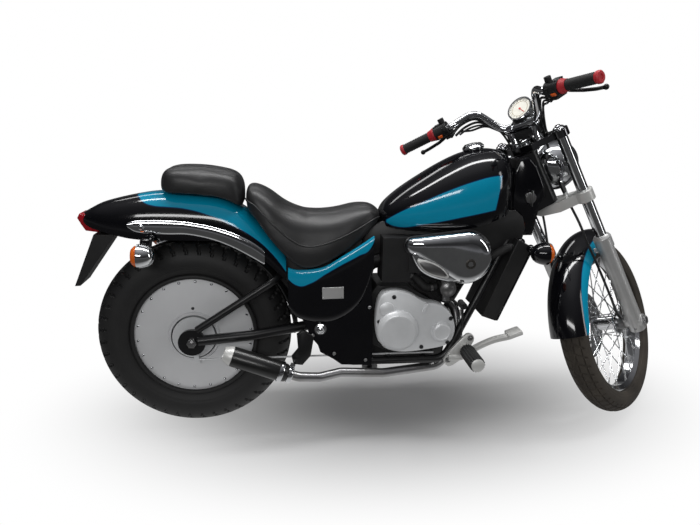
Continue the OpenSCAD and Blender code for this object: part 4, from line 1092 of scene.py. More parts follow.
def rear_tread(turn, lean):
    """Depth of the rear tyre's cuts: a split crown and slanted shoulder lugs."""
    slope = math.degrees(lean)
    lugs = math.degrees(turn) / 360 * REAR_LUGS
    if abs(slope) < 26:
        return 5.0 * max(cut(slope / 22 + 0.5, 0.2), cut(lugs + abs(slope) / 40, 0.2) * (abs(slope) > 8))
    if abs(slope) < 66:
        return 5.5 * cut(lugs + (0.25 if slope > 0 else -0.25) + abs(slope) / 160, 0.22)
    return sidewall_rings(lean)


def front_tread(turn, lean):
    """Depth of the front tyre's cuts: a middle groove and slanted blocks."""
    slope = math.degrees(lean)
    lugs = math.degrees(turn) / 360 * FRONT_LUGS
    if abs(slope) < 4:
        return 3.6
    if abs(slope) < 62:
        slanted = cut(lugs + slope / 70, 0.2)
        lengthwise = cut(abs(slope) / 29, 0.14) * (abs(slope) < 44)
        return 3.6 * max(slanted, lengthwise)
    return sidewall_rings(lean)


add_shape("rear_tyre_rubber", tyre_shape(REAR_RADIUS, REAR_WIDTH, REAR_BEAD, rear_tread, 440, 84),
          REAR_WHEEL, "rear_wheel", "tyre_rear", "rear_tyre", angle=40)
add_shape("front_tyre_rubber", tyre_shape(FRONT_RADIUS, FRONT_WIDTH, FRONT_BEAD, front_tread, 560, 72),
          FRONT_WHEEL, "front_wheel", "tyre_front", "front_tyre", angle=40)

copy_node("rear_wheel", "wheel_silver", angle=30)
DISC_RIVETS = 22
RIVET_RADIUS = 177
repeat("disc_rivets", round_head(4.8, 3.4), ring_spots(DISC_RIVETS, RIVET_RADIUS, 44.6, 0.1)
       + ring_spots(DISC_RIVETS, RIVET_RADIUS, -44.6, 0.1), REAR_WHEEL, "rear_wheel", "chrome")
# A dark bead where the tyre meets the rim, and a plug in each disc above the hub
BEAD_RING = 194
lip = []
for y in (-50, 50):
    angles = [2 * math.pi * i / 96 for i in range(97)]
    line = [Vector((BEAD_RING * math.cos(a), y, BEAD_RING * math.sin(a))) for a in angles]
    lip.append(loft(tube_rings(line, 7.5, 10), caps=False))
add_shape("tyre_beads", merge_shapes(lip), REAR_WHEEL, "rear_wheel", "tyre_rear", angle=60)
repeat("disc_plugs", round_head(5, 2.4), [facing(-2, s * 53.2, 92, s) for s in (-1, 1)], REAR_WHEEL,
       "rear_wheel", "black_plastic")

copy_node("front_wheel", "chrome", angle=30)
SPOKES = 36
nipple_spots = []
for i in range(SPOKES):
    side = 1 if i % 2 == 0 else -1
    lacing = 1 if (i // 2) % 2 == 0 else -1
    a = math.radians(360 * i / SPOKES)
    b = a + lacing * math.radians(62)
    inner_end = Vector((34 * math.cos(a), -side * (44 - 2.4 * lacing), 34 * math.sin(a)))
    outer_end = Vector((222 * math.cos(b), -side * 6, 222 * math.sin(b)))
    heading = (outer_end - inner_end).normalized()
    nipple_spots.append(along(outer_end - heading * 15, heading))
repeat("spoke_nipples", revolve([(0, 0), (2.6, 0), (2.9, 2), (2.9, 13), (3.6, 16), (0, 17)], 10, "Z"),
       nipple_spots, FRONT_WHEEL, "front_wheel", "satin_alloy")
copy_node("brake_disc", "steel", angle=30)


# Front fender: a shell over the tyre, its band following the lower edges
# Angles round the wheel and across the arch, then the arch's middle and its outer and inner radius
FENDER_FROM, FENDER_TO, FENDER_EDGE = 62.0, 154.0, 88.0
FENDER_RING, FENDER_OUT, FENDER_IN = 274, 66, 62


def front_fender_shape(steps=96, across=40):
    """Shell whose lower edges rise towards its rounded ends."""
    middle, half_arc = (FENDER_FROM + FENDER_TO) / 2, (FENDER_TO - FENDER_FROM) / 2
    rings = []
    for i in range(steps + 1):
        a = FENDER_FROM + (FENDER_TO - FENDER_FROM) * i / steps
        over = max(0.0, abs(a - middle) - (half_arc - 9)) / 9
        front = a < middle
        edge = FENDER_EDGE * (1 - (0.55 if front else 0.16) * over ** (1.8 if front else 2.6))
        ring = []
        for reach, order in ((FENDER_OUT, 1), (FENDER_IN, -1)):
            for k in range(across + 1)[::order]:
                t = math.radians(-edge + 2 * edge * k / across)
                r = FENDER_RING + reach * math.cos(t)
                ring.append((r * math.cos(math.radians(a)), reach * math.sin(t),
                             r * math.sin(math.radians(a))))
        rings.append(ring)
    return arch_loft(rings)


def front_fender_map(mesh):
    """Angle round the wheel, in degrees, and distance from the shell's lower edge, in millimetres."""
    back = FRONT_WHEEL.inverted()
    layer = mesh.uv_layers.new(name="side")
    for loop in mesh.loops:
        p = back @ mesh.vertices[loop.vertex_index].co
        turn = math.degrees(math.atan2(p.z, p.x))
        lean = math.atan2(abs(p.y), math.hypot(p.x, p.z) - FENDER_RING)
        layer.data[loop.index].uv = (turn / SPAN, FENDER_OUT * (math.radians(FENDER_EDGE) - lean) / SPAN)


# Angle round the wheel, and height of the teal band above the edge
FRONT_BAND = [(60, 34), (80, 36), (100, 36), (120, 32), (140, 24), (156, 18)]


def front_fender_teal(tree):
    """The band along the shell's lower edge."""
    turn, above_edge = side_place(tree)
    return math_node(tree, "SUBTRACT", curve_through(tree, turn, FRONT_BAND), above_edge)


fender_mesh = mesh_from("front_fender_shell", *front_fender_shape(), FRONT_WHEEL, 50)
front_fender_map(fender_mesh)
new_piece("front_fender_shell", fender_mesh, "steering", None, "front_fender")
fender_mesh.materials.append(painted_material("front_fender_paint", front_fender_teal))


# Engine: cast covers with domed caps, bolts round their rims, carburettor and air cleaner
def eased(outline, rounds=2):
    """An outline with its corners cut again and again, which rounds them."""
    for _ in range(rounds):
        softer = []
        for i, p in enumerate(outline):
            q = outline[(i + 1) % len(outline)]
            softer.append((0.75 * p[0] + 0.25 * q[0], 0.75 * p[1] + 0.25 * q[1]))
            softer.append((0.25 * p[0] + 0.75 * q[0], 0.25 * p[1] + 0.75 * q[1]))
        outline = softer
    return outline


COVER_OUTLINE = [(564, 350), (570, 440), (590, 476), (660, 476), (722, 436), (764, 436), (808, 404),
                 (828, 346), (810, 294), (750, 280), (650, 268), (586, 288)]
COVER_FACE, CASE_FACE = -138, -92.4


def make_engine_covers():
    """Right-hand cover with its caps, the round cover on the left, and their bolts."""
    body = outline_plate(eased(COVER_OUTLINE), COVER_FACE, CASE_FACE, 9)
    # Profiles: radius, Y
    clutch = revolve([(0, -160.5), (40, -160.8), (48, -162), (53, -161), (57, -156), (63, -152),
                      (66, -146), (67, -118), (0, -118)], 72)
    small = revolve([(0, -150), (20, -150.2), (24, -152), (28, -150), (31, -145), (34, -141), (34, -118),
                     (0, -118)], 48)
    left = revolve([(0, 112), (44, 116), (60, 112), (68, 102), (70, 92), (70, 71), (0, 71)], 72)
    boss = revolve([(0, -144), (18, -144), (23, -141), (25, -134), (25, -110), (0, -110)], 40)
    rib = moved(block_shape((9, 12, 34), cut=0.3), spot_at(722, -140, 420) @ turn_by(28, "Y"))
    shape = merge_shapes([body, rib, moved(boss, spot_at(601, 0, 416)),
                          moved(clutch, spot_at(636, 0, 348)), moved(small, spot_at(778, 0, 342)),
                          moved(left, spot_at(700, 0, 345))])
    add_shape("engine_covers_cast", shape, CHASSIS, "chassis", "cast_alloy", "engine_covers",
              angle=32)
    bolts = [facing(x, COVER_FACE + 1, z)
             for x, z in ((622, 456), (806, 384), (800, 304), (716, 290), (586, 304), (578, 376))]
    repeat("engine_cover_bolts", hex_head(5.5, 6), bolts, CHASSIS, "chassis", "dark_alloy")
    ring = [facing(700 + 60 * math.cos(a), 110, 345 + 60 * math.sin(a), 1) for a in
             (2 * math.pi * i / 6 for i in range(6))]
    repeat("round_cover_screws", round_head(4.5, 3.5), ring, CHASSIS, "chassis", "steel")


make_engine_covers()

# Circles at the teardrop's two ends: X, Z and radius
TEARDROP_BIG, TEARDROP_TAIL = (838, 584, 82), (676, 620, 26)
CLEANER_FACE = -132.3


def teardrop(inset, steps=48):
    """Side outline of the air cleaner, drawn in by the inset."""
    (x1, z1, r1), (x2, z2, r2) = TEARDROP_BIG, TEARDROP_TAIL
    r1, x2, r2 = r1 - inset, x2 + inset, r2 - inset / 2
    heading = math.atan2(z2 - z1, x2 - x1)
    half = math.acos((r1 - r2) / math.hypot(x2 - x1, z2 - z1))
    line = []
    for i in range(steps + 1):
        a = heading + half + (2 * math.pi - 2 * half) * i / steps
        line.append((x1 + r1 * math.cos(a), z1 + r1 * math.sin(a)))
    for i in range(13):
        a = heading - half + 2 * half * i / 12
        line.append((x2 + r2 * math.cos(a), z2 + r2 * math.sin(a)))
    return line


def make_air_cleaner():
    """Chrome teardrop cover with its lobe, bolt seat and band."""
    # Pairs: distance out from the air box, inset of the outline
    layers = [(0, 3), (2, 1), (6, 0), (14, 0), (22, 0.4), (27, 2.4), (32, 6), (36.5, 11), (40, 18),
              (42.5, 26), (44, 34)]
    shape = loft([[(x, CLEANER_FACE - out, z) for x, z in teardrop(inset)] for out, inset in layers])
    add_shape("air_cleaner_cover", shape, CHASSIS, "chassis", "chrome", "air_cleaner", angle=60)
    # The rear-lower part of the cover is a lobe with an almond-shaped grey face
    lobe = eased([(660, 606), (676, 570), (694, 545), (720, 528), (750, 518), (800, 508), (830, 520),
                  (800, 560), (760, 590), (700, 612)], 2)
    add_shape("air_cleaner_lobe", outline_plate(lobe, -168, -128, 9), CHASSIS, "chassis",
              "chrome", angle=50)
    almond = eased([(676, 586), (707, 583), (738, 572), (767, 552), (787, 524), (752, 528), (714, 541),
                    (692, 558)], 2)
    add_shape("air_cleaner_almond", outline_plate(almond, -178.4, -166, 3), CHASSIS, "chassis",
              "bright_alloy", angle=50)
    face = [(0.86 * (x - 728) + 728, 0.8 * (z - 556) + 556) for x, z in almond]
    add_shape("air_cleaner_almond_face", outline_plate(face, -179, -172, 1.5), CHASSIS, "chassis",
              "steel", angle=50)
    seat = revolve([(0, -173), (7, -173), (8, -177.5), (13, -178), (16, -176.5), (16, -170), (0, -170)],
                   40)
    add_shape("air_cleaner_bolt_seat", moved(seat, spot_at(846, 0, 570)), CHASSIS, "chassis",
              "dark_steel")
    edge = [Vector((x, CLEANER_FACE - 6, z)) for x, z in teardrop(-1.5)]
    band = loft(tube_rings(edge + edge[:1], 2.2, 8))
    add_shape("air_cleaner_band", band, CHASSIS, "chassis", "dark_alloy")


make_air_cleaner()


def make_carburettor():
    """Carburettor, the hoses round the engine and their clips."""
    parts = [moved(revolve([(0, -112), (12, -112), (16, -109), (26, -108.6), (26, -62), (0, -62)], 40),
                   spot_at(800, 0, 472)),
             moved(revolve([(0, 423), (10, 423), (17.6, 430), (18, 462), (22, 464), (22, 484), (18, 486),
                            (17.6, 530), (12, 537), (0, 537)], 40, "Z"), spot_at(800, -86, 0)),
             moved(block_shape((46, 30, 30)), spot_at(800, -92, 496))]
    add_shape("carburettor_body", merge_shapes(parts), CHASSIS, "chassis", "steel")
    intake = tube_shape([(770, -70, 470), (735, -74, 466), (700, -70, 500), (668, -70, 520)], 13, 24, 16)
    drain = tube_shape([(812, -102, 440), (850, -112, 408), (852, -112, 330), (836, -108, 290)], 4, 20,
                       10)
    water = tube_shape([(1040, -60, 590), (1000, -64, 596), (940, -58, 560), (880, -50, 536),
                        (862, -40, 528)], 15, 30, 16)
    hoses = merge_shapes([intake, drain, water])
    add_shape("engine_hoses", hoses, CHASSIS, "chassis", "rubber")
    clips = [along((752, -72, 468), (1, 0.1, 0.1)), along((684, -70, 510), (-0.8, 0, 0.6)),
             along((1014, -62, 593), (1, 0, 0)), along((892, -52, 541), (-1, 0.1, -0.35))]
    band = revolve([(14.5, -4), (16.4, -4), (16.4, 4), (14.5, 4)], 32, "Z")
    repeat("hose_clips", band, clips, CHASSIS, "chassis", "steel")


make_carburettor()


def make_cylinder_details():
    """Fins round the barrel and bolts on the head, in the cylinder's own frame."""
    lean = spot_at(690, 0, 380) @ turn_by(42, "Y")
    plate = block_shape((117, 117, 3.2), cut=0.3)
    spots = [lean @ spot_at(0, 0, 72 + 9.5 * i) for i in range(12)]
    repeat("cylinder_fins", plate, spots, CHASSIS, "chassis", "engine_black", angle=25)
    heads = [lean @ spot_at(sx * 36, sy * 36, 228) for sx in (-1, 1) for sy in (-1, 1)]
    sides = [lean @ spot_at(sx * 30, sy * 48, 206) @ turn_by(-90 * sy, "X")
             for sx in (-1, 1) for sy in (-1, 1)]
    repeat("cylinder_head_bolts", hex_head(6.5, 7), heads + sides, CHASSIS, "chassis", "steel")
    cap = moved(revolve([(0, 0), (26, 0), (26, 5), (20, 9), (0, 10)], 40, "Z"),
                lean @ spot_at(0, -48, 207) @ turn_by(90, "X"))
    add_shape("cylinder_head_cap", cap, CHASSIS, "chassis", "satin_alloy")


make_cylinder_details()


# Exhaust: black silencer with a short bright tail, a clamp at its front and a hanger
def make_exhaust():
    """Silencer along its own axis, from the pipe to the tail."""
    start, end = Vector((284, -158, 222)), Vector((121, -160, 282))
    axis = along(start, end - start)
    length = (end - start).length + 22
    bright = length - 26
    body = revolve([(0, 0), (22, 0), (29, 8), (31, 16), (31, bright - 2), (29.5, bright), (0, bright)],
                   56, "Z")
    add_shape("silencer_body", moved(body, axis), CHASSIS, "chassis", "muffler_black",
              "muffler")
    tail = revolve([(11, bright), (31.4, bright), (31.4, bright + 3), (21, length - 1), (20, length),
                    (14, length), (11, length - 14)], 56, "Z")
    add_shape("silencer_tail", moved(tail, axis), CHASSIS, "chassis", "bright_alloy")
    collar = revolve([(14, -24), (25, -24), (27, -21), (27, -10), (24, -8), (14, -8)], 48, "Z")
    band = revolve([(14, 6), (32, 6), (33.4, 9), (33.4, 17), (31, 20), (14, 20)], 48, "Z")
    lug = moved(block_shape((12, 10, 14)), spot_at(0, 31, -16))
    clamp = merge_shapes([collar, band, lug])
    add_shape("silencer_clamp", moved(clamp, axis), CHASSIS, "chassis", "chrome")
    sleeve = revolve([(14, -12), (22, -12), (28, -4), (30, 8), (14, 8)], 48, "Z")
    add_shape("silencer_neck", moved(sleeve, axis), CHASSIS, "chassis", "muffler_black")
    hanger = outline_plate([(322, 336), (344, 350), (376, 326), (366, 262), (340, 232), (312, 236),
                            (306, 262), (326, 288)], -131, -117, 4)
    add_shape("silencer_hanger", hanger, CHASSIS, "chassis", "frame_black", angle=50)


make_exhaust()


# Bars and fork: dial, grips with red collars, switches, lever ends, bolts, seals, cables and wires
DIAL = FORK @ spot_at(58, 0, 822) @ turn_by(-38, "Y")
DIAL_R = 36.6
DIAL_TICKS = 27


def make_dial():
    """Pale face with long and short ticks, a needle and a thin ring."""
    face = revolve([(0, 0.1), (DIAL_R, 0.1), (DIAL_R, 0.8), (0, 0.8)], 48, "Z")
    add_shape("dial_face", face, DIAL, "steering", "cream_dial")
    ticks, marks = [], []
    for i in range(DIAL_TICKS):
        a = math.radians(225 - 270 * i / (DIAL_TICKS - 1))
        spot = Matrix.Rotation(a, 4, "Z") @ spot_at(DIAL_R - 5, 0, 0.9)
        (marks if i % 2 == 0 else ticks).append(spot)
    repeat("dial_ticks", block_shape((3, 0.6, 0.5)), ticks, DIAL, "steering", "black_plastic")
    repeat("dial_marks", block_shape((6, 1.1, 0.5)), marks, DIAL, "steering", "black_plastic")
    needle = moved(merge_shapes([moved(block_shape((27, 1.6, 0.7)), spot_at(11, 0, 1.8)),
                                 revolve([(0, 0.8), (3.6, 0.8), (3.6, 2.6), (0, 3.0)], 24, "Z")]),
                   turn_by(222, "Z"))
    add_shape("dial_needle", needle, DIAL, "steering", "red_needle")
    ring = revolve([(DIAL_R - 10, 0.8), (DIAL_R - 9, 0.8), (DIAL_R - 9, 1.1), (DIAL_R - 10, 1.1)], 48,
                   "Z")
    add_shape("dial_inner_ring", ring, DIAL, "steering", "brass_tint")


make_dial()

GRIP_IN, GRIP_OUT = Vector((-109, 218, 871)), Vector((-148, 340, 865))
GRIP_LENGTH = (GRIP_OUT - GRIP_IN).length
GRIP_WAY = (GRIP_OUT - GRIP_IN).normalized()
GRIP = (Matrix.Translation(GRIP_IN) @ Matrix.Rotation(math.atan2(GRIP_WAY.y, GRIP_WAY.x), 4, "Z")
        @ Matrix.Rotation(math.acos(GRIP_WAY.z), 4, "Y"))


def both_grips(shape):
    """A shape in the left grip's own frame (Z out, -X up, -Y ahead), and its mirror image."""
    return both_sides(moved(shape, GRIP))


def make_grips():
    """Ribbed rubbers between red collars."""
    end = GRIP_LENGTH
    rubber = revolve([(11.6, 22), (16, 22)] + [(16.5 - 1.1 * (i % 2), 24 + 3.2 * i) for i in range(28)]
                     + [(16.4, end - 13), (11.6, end - 13)], 40, "Z")
    add_shape("grip_rubbers", both_grips(rubber), FORK, "steering", "rubber", "grips", angle=50)
    collars = merge_shapes([revolve([(11.6, 0), (20, 0), (21.5, 2), (21.5, 6), (20, 9), (17.4, 22),
                                     (11.6, 22)], 40, "Z"),
                            revolve([(0, end - 13), (16.8, end - 13), (18, end - 10), (18, end - 3),
                                     (15, end), (8, end), (7, end - 3), (0, end - 3)], 40, "Z")])
    add_shape("grip_collars", both_grips(collars), FORK, "steering", "red_rubber")


make_grips()


def make_bar_controls():
    """Buttons and lids of the switches, balls on the levers, screws of the perches."""
    # An orange rocker low on the rider's side of each housing
    button = moved(block_shape((9, 7, 15), cut=0.25), spot_at(12, 20, -16) @ turn_by(-30, "Z"))
    add_shape("switch_buttons", both_grips(button), FORK, "steering", "orange_button")
    rocker = moved(block_shape((12, 6, 9)), spot_at(-4, 23, -34))
    lid = moved(block_shape((26, 34, 6), cut=0.3), spot_at(-20, -6, -16) @ turn_by(90, "Y"))
    add_shape("switch_lids", both_grips(merge_shapes([rocker, lid])), FORK, "steering",
              "black_plastic")
    ball = revolve([(8.2 * math.sin(math.pi * i / 10), -8.2 * math.cos(math.pi * i / 10))
                    for i in range(11)], 24, "Z")
    add_shape("lever_balls", both_grips(moved(ball, spot_at(46, -62, 86))), FORK, "steering",
              "frame_black")
    screws = [GRIP @ spot_at(34, -30, -40) @ turn_by(90, "Y"),
              GRIP @ spot_at(34, -12, -40) @ turn_by(90, "Y")]
    screws += [Matrix.Diagonal((1, -1, 1, 1)) @ s @ Matrix.Diagonal((1, -1, 1, 1)) for s in screws]
    repeat("perch_screws", round_head(4, 3.5), screws, FORK, "steering", "steel")


make_bar_controls()


def make_fork_details():
    """Caps, bolts, seals and screws of the fork, clamps of the bars and the lamp's bulb cup."""
    caps, clamps = [], []
    for side in (-1, 1):
        caps.append(spot_at(FORK_OFFSET, side * FORK_HALF, 725))
        for ahead, z in ((28, 480), (28, 500), (26, 711)):
            clamps.append(along((FORK_OFFSET + ahead, side * FORK_HALF, z), (1, 0, 0)))
    repeat("fork_caps", merge_shapes([revolve([(0, 0), (17.6, 0), (17.6, 4), (15, 6), (0, 6)], 32, "Z"),
                                      hex_head(9, 12)]), caps, FORK, "steering", "chrome")
    repeat("yoke_clamp_bolts", hex_head(6.5, 9), clamps, FORK, "steering", "steel")
    stem = hex_head(17, 13)
    add_shape("stem_nut", moved(stem, spot_at(0, 0, 722.4)), FORK, "steering", "chrome")
    seal = revolve([(18.4, 325), (28, 325), (29, 331), (25, 338), (20, 342), (18.4, 342)], 40, "Z")
    seals = merge_shapes([moved(seal, spot_at(FORK_OFFSET, side * FORK_HALF, 0)) for side in (-1, 1)])
    add_shape("fork_seals", seals, FORK, "steering", "satin_alloy")
    drains = [along((FORK_OFFSET, side * 131.5, 0), (0, side, 0)) for side in (-1, 1)]
    drains += [along((FORK_OFFSET - 24, side * 104, -18), (-1, 0, 0)) for side in (-1, 1)]
    repeat("slider_drain_screws", round_head(5, 4), drains, FORK, "steering", "steel")
    # Riser clamps on the bars
    clamp = revolve([(11.2, -12), (17, -12), (17, 12), (11.2, 12)], 32, "Y")
    risers = merge_shapes([moved(clamp, spot_at(22, side * 40, 775)) for side in (-1, 1)])
    add_shape("riser_clamps", risers, FORK, "steering", "chrome")
    bulb = FORK @ spot_at(128, 0, 590) @ turn_by(118.3, "Y")
    cup = revolve([(0, 0.2), (13, 0.2), (13, 2), (9, 4.6), (0, 5)], 32, "Z")
    add_shape("lamp_bulb_cup", cup, bulb, "steering", "satin_alloy")


make_fork_details()


def smooth_tube(points, radius, sides=10, steps=8):
    """A round tube along a smooth line through the points."""
    return loft(tube_rings(smooth_line(points, steps), radius, sides))


def make_handlebar():
    """Raised bar on two risers."""
    half = [(22, 60, 775), (-26, 106, 880), tuple(GRIP_IN - 66 * GRIP_WAY),
            tuple(GRIP_OUT - 6 * GRIP_WAY)]
    path = [(x, -y, z) for x, y, z in reversed(half)] + half
    bar = loft(tube_rings(rounded_path(path, 58, 14), 11, 24))
    riser = revolve([(0, 722.6), (15, 722.6), (15, 728), (13, 731), (13, 770), (0, 772)], 32, "Z")
    risers = [moved(riser, spot_at(22, side * 40, 0)) for side in (-1, 1)]
    add_shape("handlebar_tube", merge_shapes([bar] + risers), FORK, "steering", "chrome",
              "handlebar", angle=50)


make_handlebar()

CLUTCH_CABLE = [(-62, 160, 842), (-40, 134, 828), (-4, 104, 818), (26, 80, 784), (30, 68, 741),
                (30, 68, 722.6)]


def make_cables():
    """Control cables that hang under the bars and end at the yoke, and the one down to the front hub."""
    clutch = smooth_tube(CLUTCH_CABLE, 3.5)
    speedo_end = [(85.3, 0, 787.1), (98.8, 0, 769.8), (90, -24, 711), (84, -24, 600), (64, -26, 540),
                  (24, -50, 480), (-14, -74, 420), (-26, -80, 350), (-24, -82, 250), (-18, -80, 130),
                  (13.6, -63, 57), (28, -63, 23.3)]
    add_shape("control_cables", merge_shapes([clutch, mirrored(clutch), smooth_tube(speedo_end, 4.2)]),
              FORK, "steering", "black_plastic", "cables", angle=60)
    # Wires and hoses taped along the underside of the bars, then down to the yokes
    thick = [(-92, 176, 846), (-66, 146, 862), (-30, 112, 858), (-2, 90, 820), (24, 66, 776),
             (42, 52, 724)]
    middling = [(-84, 168, 838), (-56, 140, 848), (-22, 110, 842), (6, 86, 806), (34, 66, 764),
                (54, 54, 724)]
    thin = [(-72, 160, 834), (-46, 134, 838), (-10, 108, 826), (20, 84, 790), (44, 62, 752),
            (50, 40, 724)]
    wires = [smooth_tube(thick, 5), smooth_tube(middling, 4), smooth_tube(thin, 3.2)]
    wires += [mirrored(w) for w in wires]
    # Brake hose: behind the left leg to the caliper
    wires.append(smooth_tube([(54, 54, 724), (70, 58, 690), (64, 66, 600), (62, 70, 460), (6, 72, 340),
                              (-24, 76, 240), (-34, 74, 150), (-36, 72, 132)], 4))
    add_shape("bar_wiring", merge_shapes(wires), FORK, "steering", "black_plastic",
              angle=60)
    boxes = [moved(block_shape((46, 116, 30), cut=0.25), spot_at(36, 0, 748)),
             moved(block_shape((34, 76, 24), cut=0.25), spot_at(44, 0, 778) @ turn_by(-20, "Y"))]
    add_shape("warning_lamp_box", merge_shapes(boxes), FORK, "steering", "black_plastic")


make_cables()


# Running gear and trim: chain, indicators, footrests, pedals, radiator, side trim, covers, tail lamp
CHAIN_Y, CHAIN_PITCH = 84, 12.7
REAR_TEETH, FRONT_TEETH = 44, 13
REAR_HUB, FRONT_HUB = Vector((0, REAR_RADIUS)), Vector((560, 352))
REAR_SPROCKET_R, FRONT_SPROCKET_R = (CHAIN_PITCH / (2 * math.sin(math.pi / teeth))
                                     for teeth in (REAR_TEETH, FRONT_TEETH))


def chain_path():
    """Points and headings of the chain's loop, one for each link."""
    gap = FRONT_HUB - REAR_HUB
    slope = math.atan2(gap.y, gap.x)
    wrap = math.acos((REAR_SPROCKET_R - FRONT_SPROCKET_R) / gap.length)
    line = []
    for hub, radius, start, sweep in ((REAR_HUB, REAR_SPROCKET_R, slope + wrap, 2 * math.pi - 2 * wrap),
                                      (FRONT_HUB, FRONT_SPROCKET_R, slope - wrap, 2 * wrap)):
        for i in range(61):
            a = start + sweep * i / 60
            line.append(hub + radius * Vector((math.cos(a), math.sin(a))))
    line.append(line[0].copy())
    length = sum((q - p).length for p, q in zip(line, line[1:]))
    count = round(length / CHAIN_PITCH)
    links, walked, at = [], 0.0, 0
    for k in range(count):
        goal = length * k / count
        while walked + (line[at + 1] - line[at]).length < goal:
            walked += (line[at + 1] - line[at]).length
            at += 1
        step = (line[at + 1] - line[at]).normalized()
        links.append((line[at] + step * (goal - walked), math.atan2(step.y, step.x)))
    return links


def make_chain():
    """Links with waisted side plates, rollers and pins, and the teeth of the rear sprocket."""
    waisted = eased([(-10, -4.4), (-4, -4.4), (0, -3), (4, -4.4), (10, -4.4), (10, 4.4), (4, 4.4), (0, 3),
                     (-4, 4.4), (-10, 4.4)], 1)
    plates = [outline_plate(waisted, y - 0.8, y + 0.8, 0.3) for y in (-5.2, 5.2)]
    half_pitch = spot_at(-CHAIN_PITCH / 2, 0, 0)
    roller = moved(revolve([(0, -4.3), (4, -4.3), (4, 4.3), (0, 4.3)], 14), half_pitch)
    pin = moved(revolve([(0, -7.2), (1.8, -7.2), (1.8, 7.2), (0, 7.2)], 10), half_pitch)
    spots = [spot_at(p.x, CHAIN_Y, p.y) @ Matrix.Rotation(-a, 4, "Y") for p, a in chain_path()]
    repeat("chain_links", merge_shapes([*plates, roller, pin]), spots, CHASSIS, "chassis",
           "dark_steel", node="chain")
    tooth = outline_plate([(-4.5, -5), (4.5, -5), (1.6, 4), (-1.6, 4)], -2.2, 2.2, 0.4)
    ring = []
    for i in range(REAR_TEETH):
        a = 2 * math.pi * (i + 0.5) / REAR_TEETH
        r = REAR_SPROCKET_R - 3.5
        ring.append(spot_at(r * math.cos(a), CHAIN_Y, r * math.sin(a))
                    @ Matrix.Rotation(math.pi / 2 - a, 4, "Y"))
    repeat("rear_sprocket_teeth", tooth, ring, REAR_WHEEL, "rear_wheel", "steel")


make_chain()


def make_indicators():
    """Bowls on stalks, front and rear, on both sides; the rear ones also have an arm."""
    # Rows: name, bowl's X, Y and Z, way it faces, stalk's X, Y and Z, finish, node
    for name, x, y, z, way, sx, sy, sz, finish, node in (
            ("rear_indicator_bowls", -127, 150, 591, -1, -105, 93.6, 635, "chrome", "indicators"),
            ("front_indicator_bowls", 1084, 150, 596, 1, 1062, 95.3, 600, "gloss_black", None)):
        bowl = revolve([(0, -40), (8, -39.6), (15, -37), (22, -32), (28.6, -23), (33, -11), (35.4, 0),
                        (36, 6), (35, 10), (31.6, 10.6), (30, 8), (0, 8)], 48, "Z")
        bowl = moved(bowl, spot_at(x, y, z) @ turn_by(90 * way, "Y"))
        stalk = tube_shape([(sx, sy, sz), (sx, sy + 24, sz), (sx, y - 6, z)], 6, 10, 16)
        boot = revolve([(0, 0), (13, 0), (12, 6), (9, 14), (6, 16), (0, 16)], 24, "Z")
        boot = moved(boot, along((sx, sy + 0.4, sz), (0, 1, 0)))
        add_shape(name, both_sides(bowl), CHASSIS, "chassis", finish, node, angle=45)
        arm = moved(block_shape((30, 30, 34), cut=0.3), spot_at(x + 8, y - 30, z + 30))
        stem = merge_shapes([stalk, boot, arm] if way < 0 else [stalk, boot])
        stalk_name = name.replace("bowls", "stalks")
        add_shape(stalk_name, both_sides(stem), CHASSIS, "chassis", "gloss_black",
                  angle=45)


make_indicators()


PEG_X, PEG_Z = 858, 283
PEG_RIDGES = 36


def make_footrests():
    """Pegs with ridges along their rubber, on bolted brackets."""
    ribbed = [24 - 2.6 * (i % 2) for i in range(PEG_RIDGES)]
    angles = [2 * math.pi * i / PEG_RIDGES for i in range(PEG_RIDGES)]
    rings = []
    for y, share in ((160, 0.86), (163, 1.0), (272, 1.0), (275, 0.9)):
        rings.append([(PEG_X + share * r * math.cos(a), y, PEG_Z + share * r * math.sin(a))
                      for a, r in zip(angles, ribbed)])
    peg = loft(rings)
    add_shape("footpeg_rubbers", both_sides(peg), CHASSIS, "chassis", "rubber", "footpegs",
              angle=20)
    end = revolve([(0, 274), (20, 274), (20, 278), (17, 280), (0, 280.6)], 36)
    knuckle = revolve([(0, 130), (15, 130), (15, 156), (13, 161), (0, 161)], 36)
    trim = moved(merge_shapes([end, knuckle]), spot_at(PEG_X, 0, PEG_Z))
    add_shape("footpeg_ends", both_sides(trim), CHASSIS, "chassis", "bright_alloy")
    plate = outline_plate(eased([(790, 246), (798, 226), (815, 214), (851, 240), (888, 298), (890, 318),
                                 (876, 330), (860, 326)], 1), -131, -117.8, 3)
    add_shape("peg_bracket_plates", both_sides(plate), CHASSIS, "chassis", "bright_alloy",
              "peg_brackets")
    spots = ((807, 241), (876, 314))
    bolts = [facing(x, -130.6, z) for x, z in spots] + [facing(x, 130.6, z, 1) for x, z in spots]
    repeat("bracket_bolts", hex_head(7.5, 8), bolts, CHASSIS, "chassis", "steel")


make_footrests()


def make_foot_levers():
    """Brake pedal on the right, gear lever on the left."""
    arm = smooth_tube([(806, -138, 252), (850, -140, 256), (892, -150, 290), (938, -166, 320),
                       (978, -184, 338), (992, -190, 346)], 11, 18)
    pad = moved(block_shape((46, 50, 15), cut=0.42), spot_at(994, -190, 353) @ turn_by(-20, "Y"))
    gear = smooth_tube([(700, 123, 300), (760, 138, 242), (880, 146, 246), (936, 160, 320),
                        (940, 168, 326)], 7, 14)
    toe = moved(revolve([(0, 150), (11, 150), (12, 153), (12, 203), (11, 206), (0, 206)], 28),
                spot_at(938, 0, 326))
    add_shape("foot_lever_arms", merge_shapes([arm, pad, gear]), CHASSIS, "chassis",
              "bright_alloy", "foot_controls", angle=45)
    add_shape("gear_toe_rubber", toe, CHASSIS, "chassis", "rubber")


make_foot_levers()


FINS, FIN_GAP = 46, 5.2


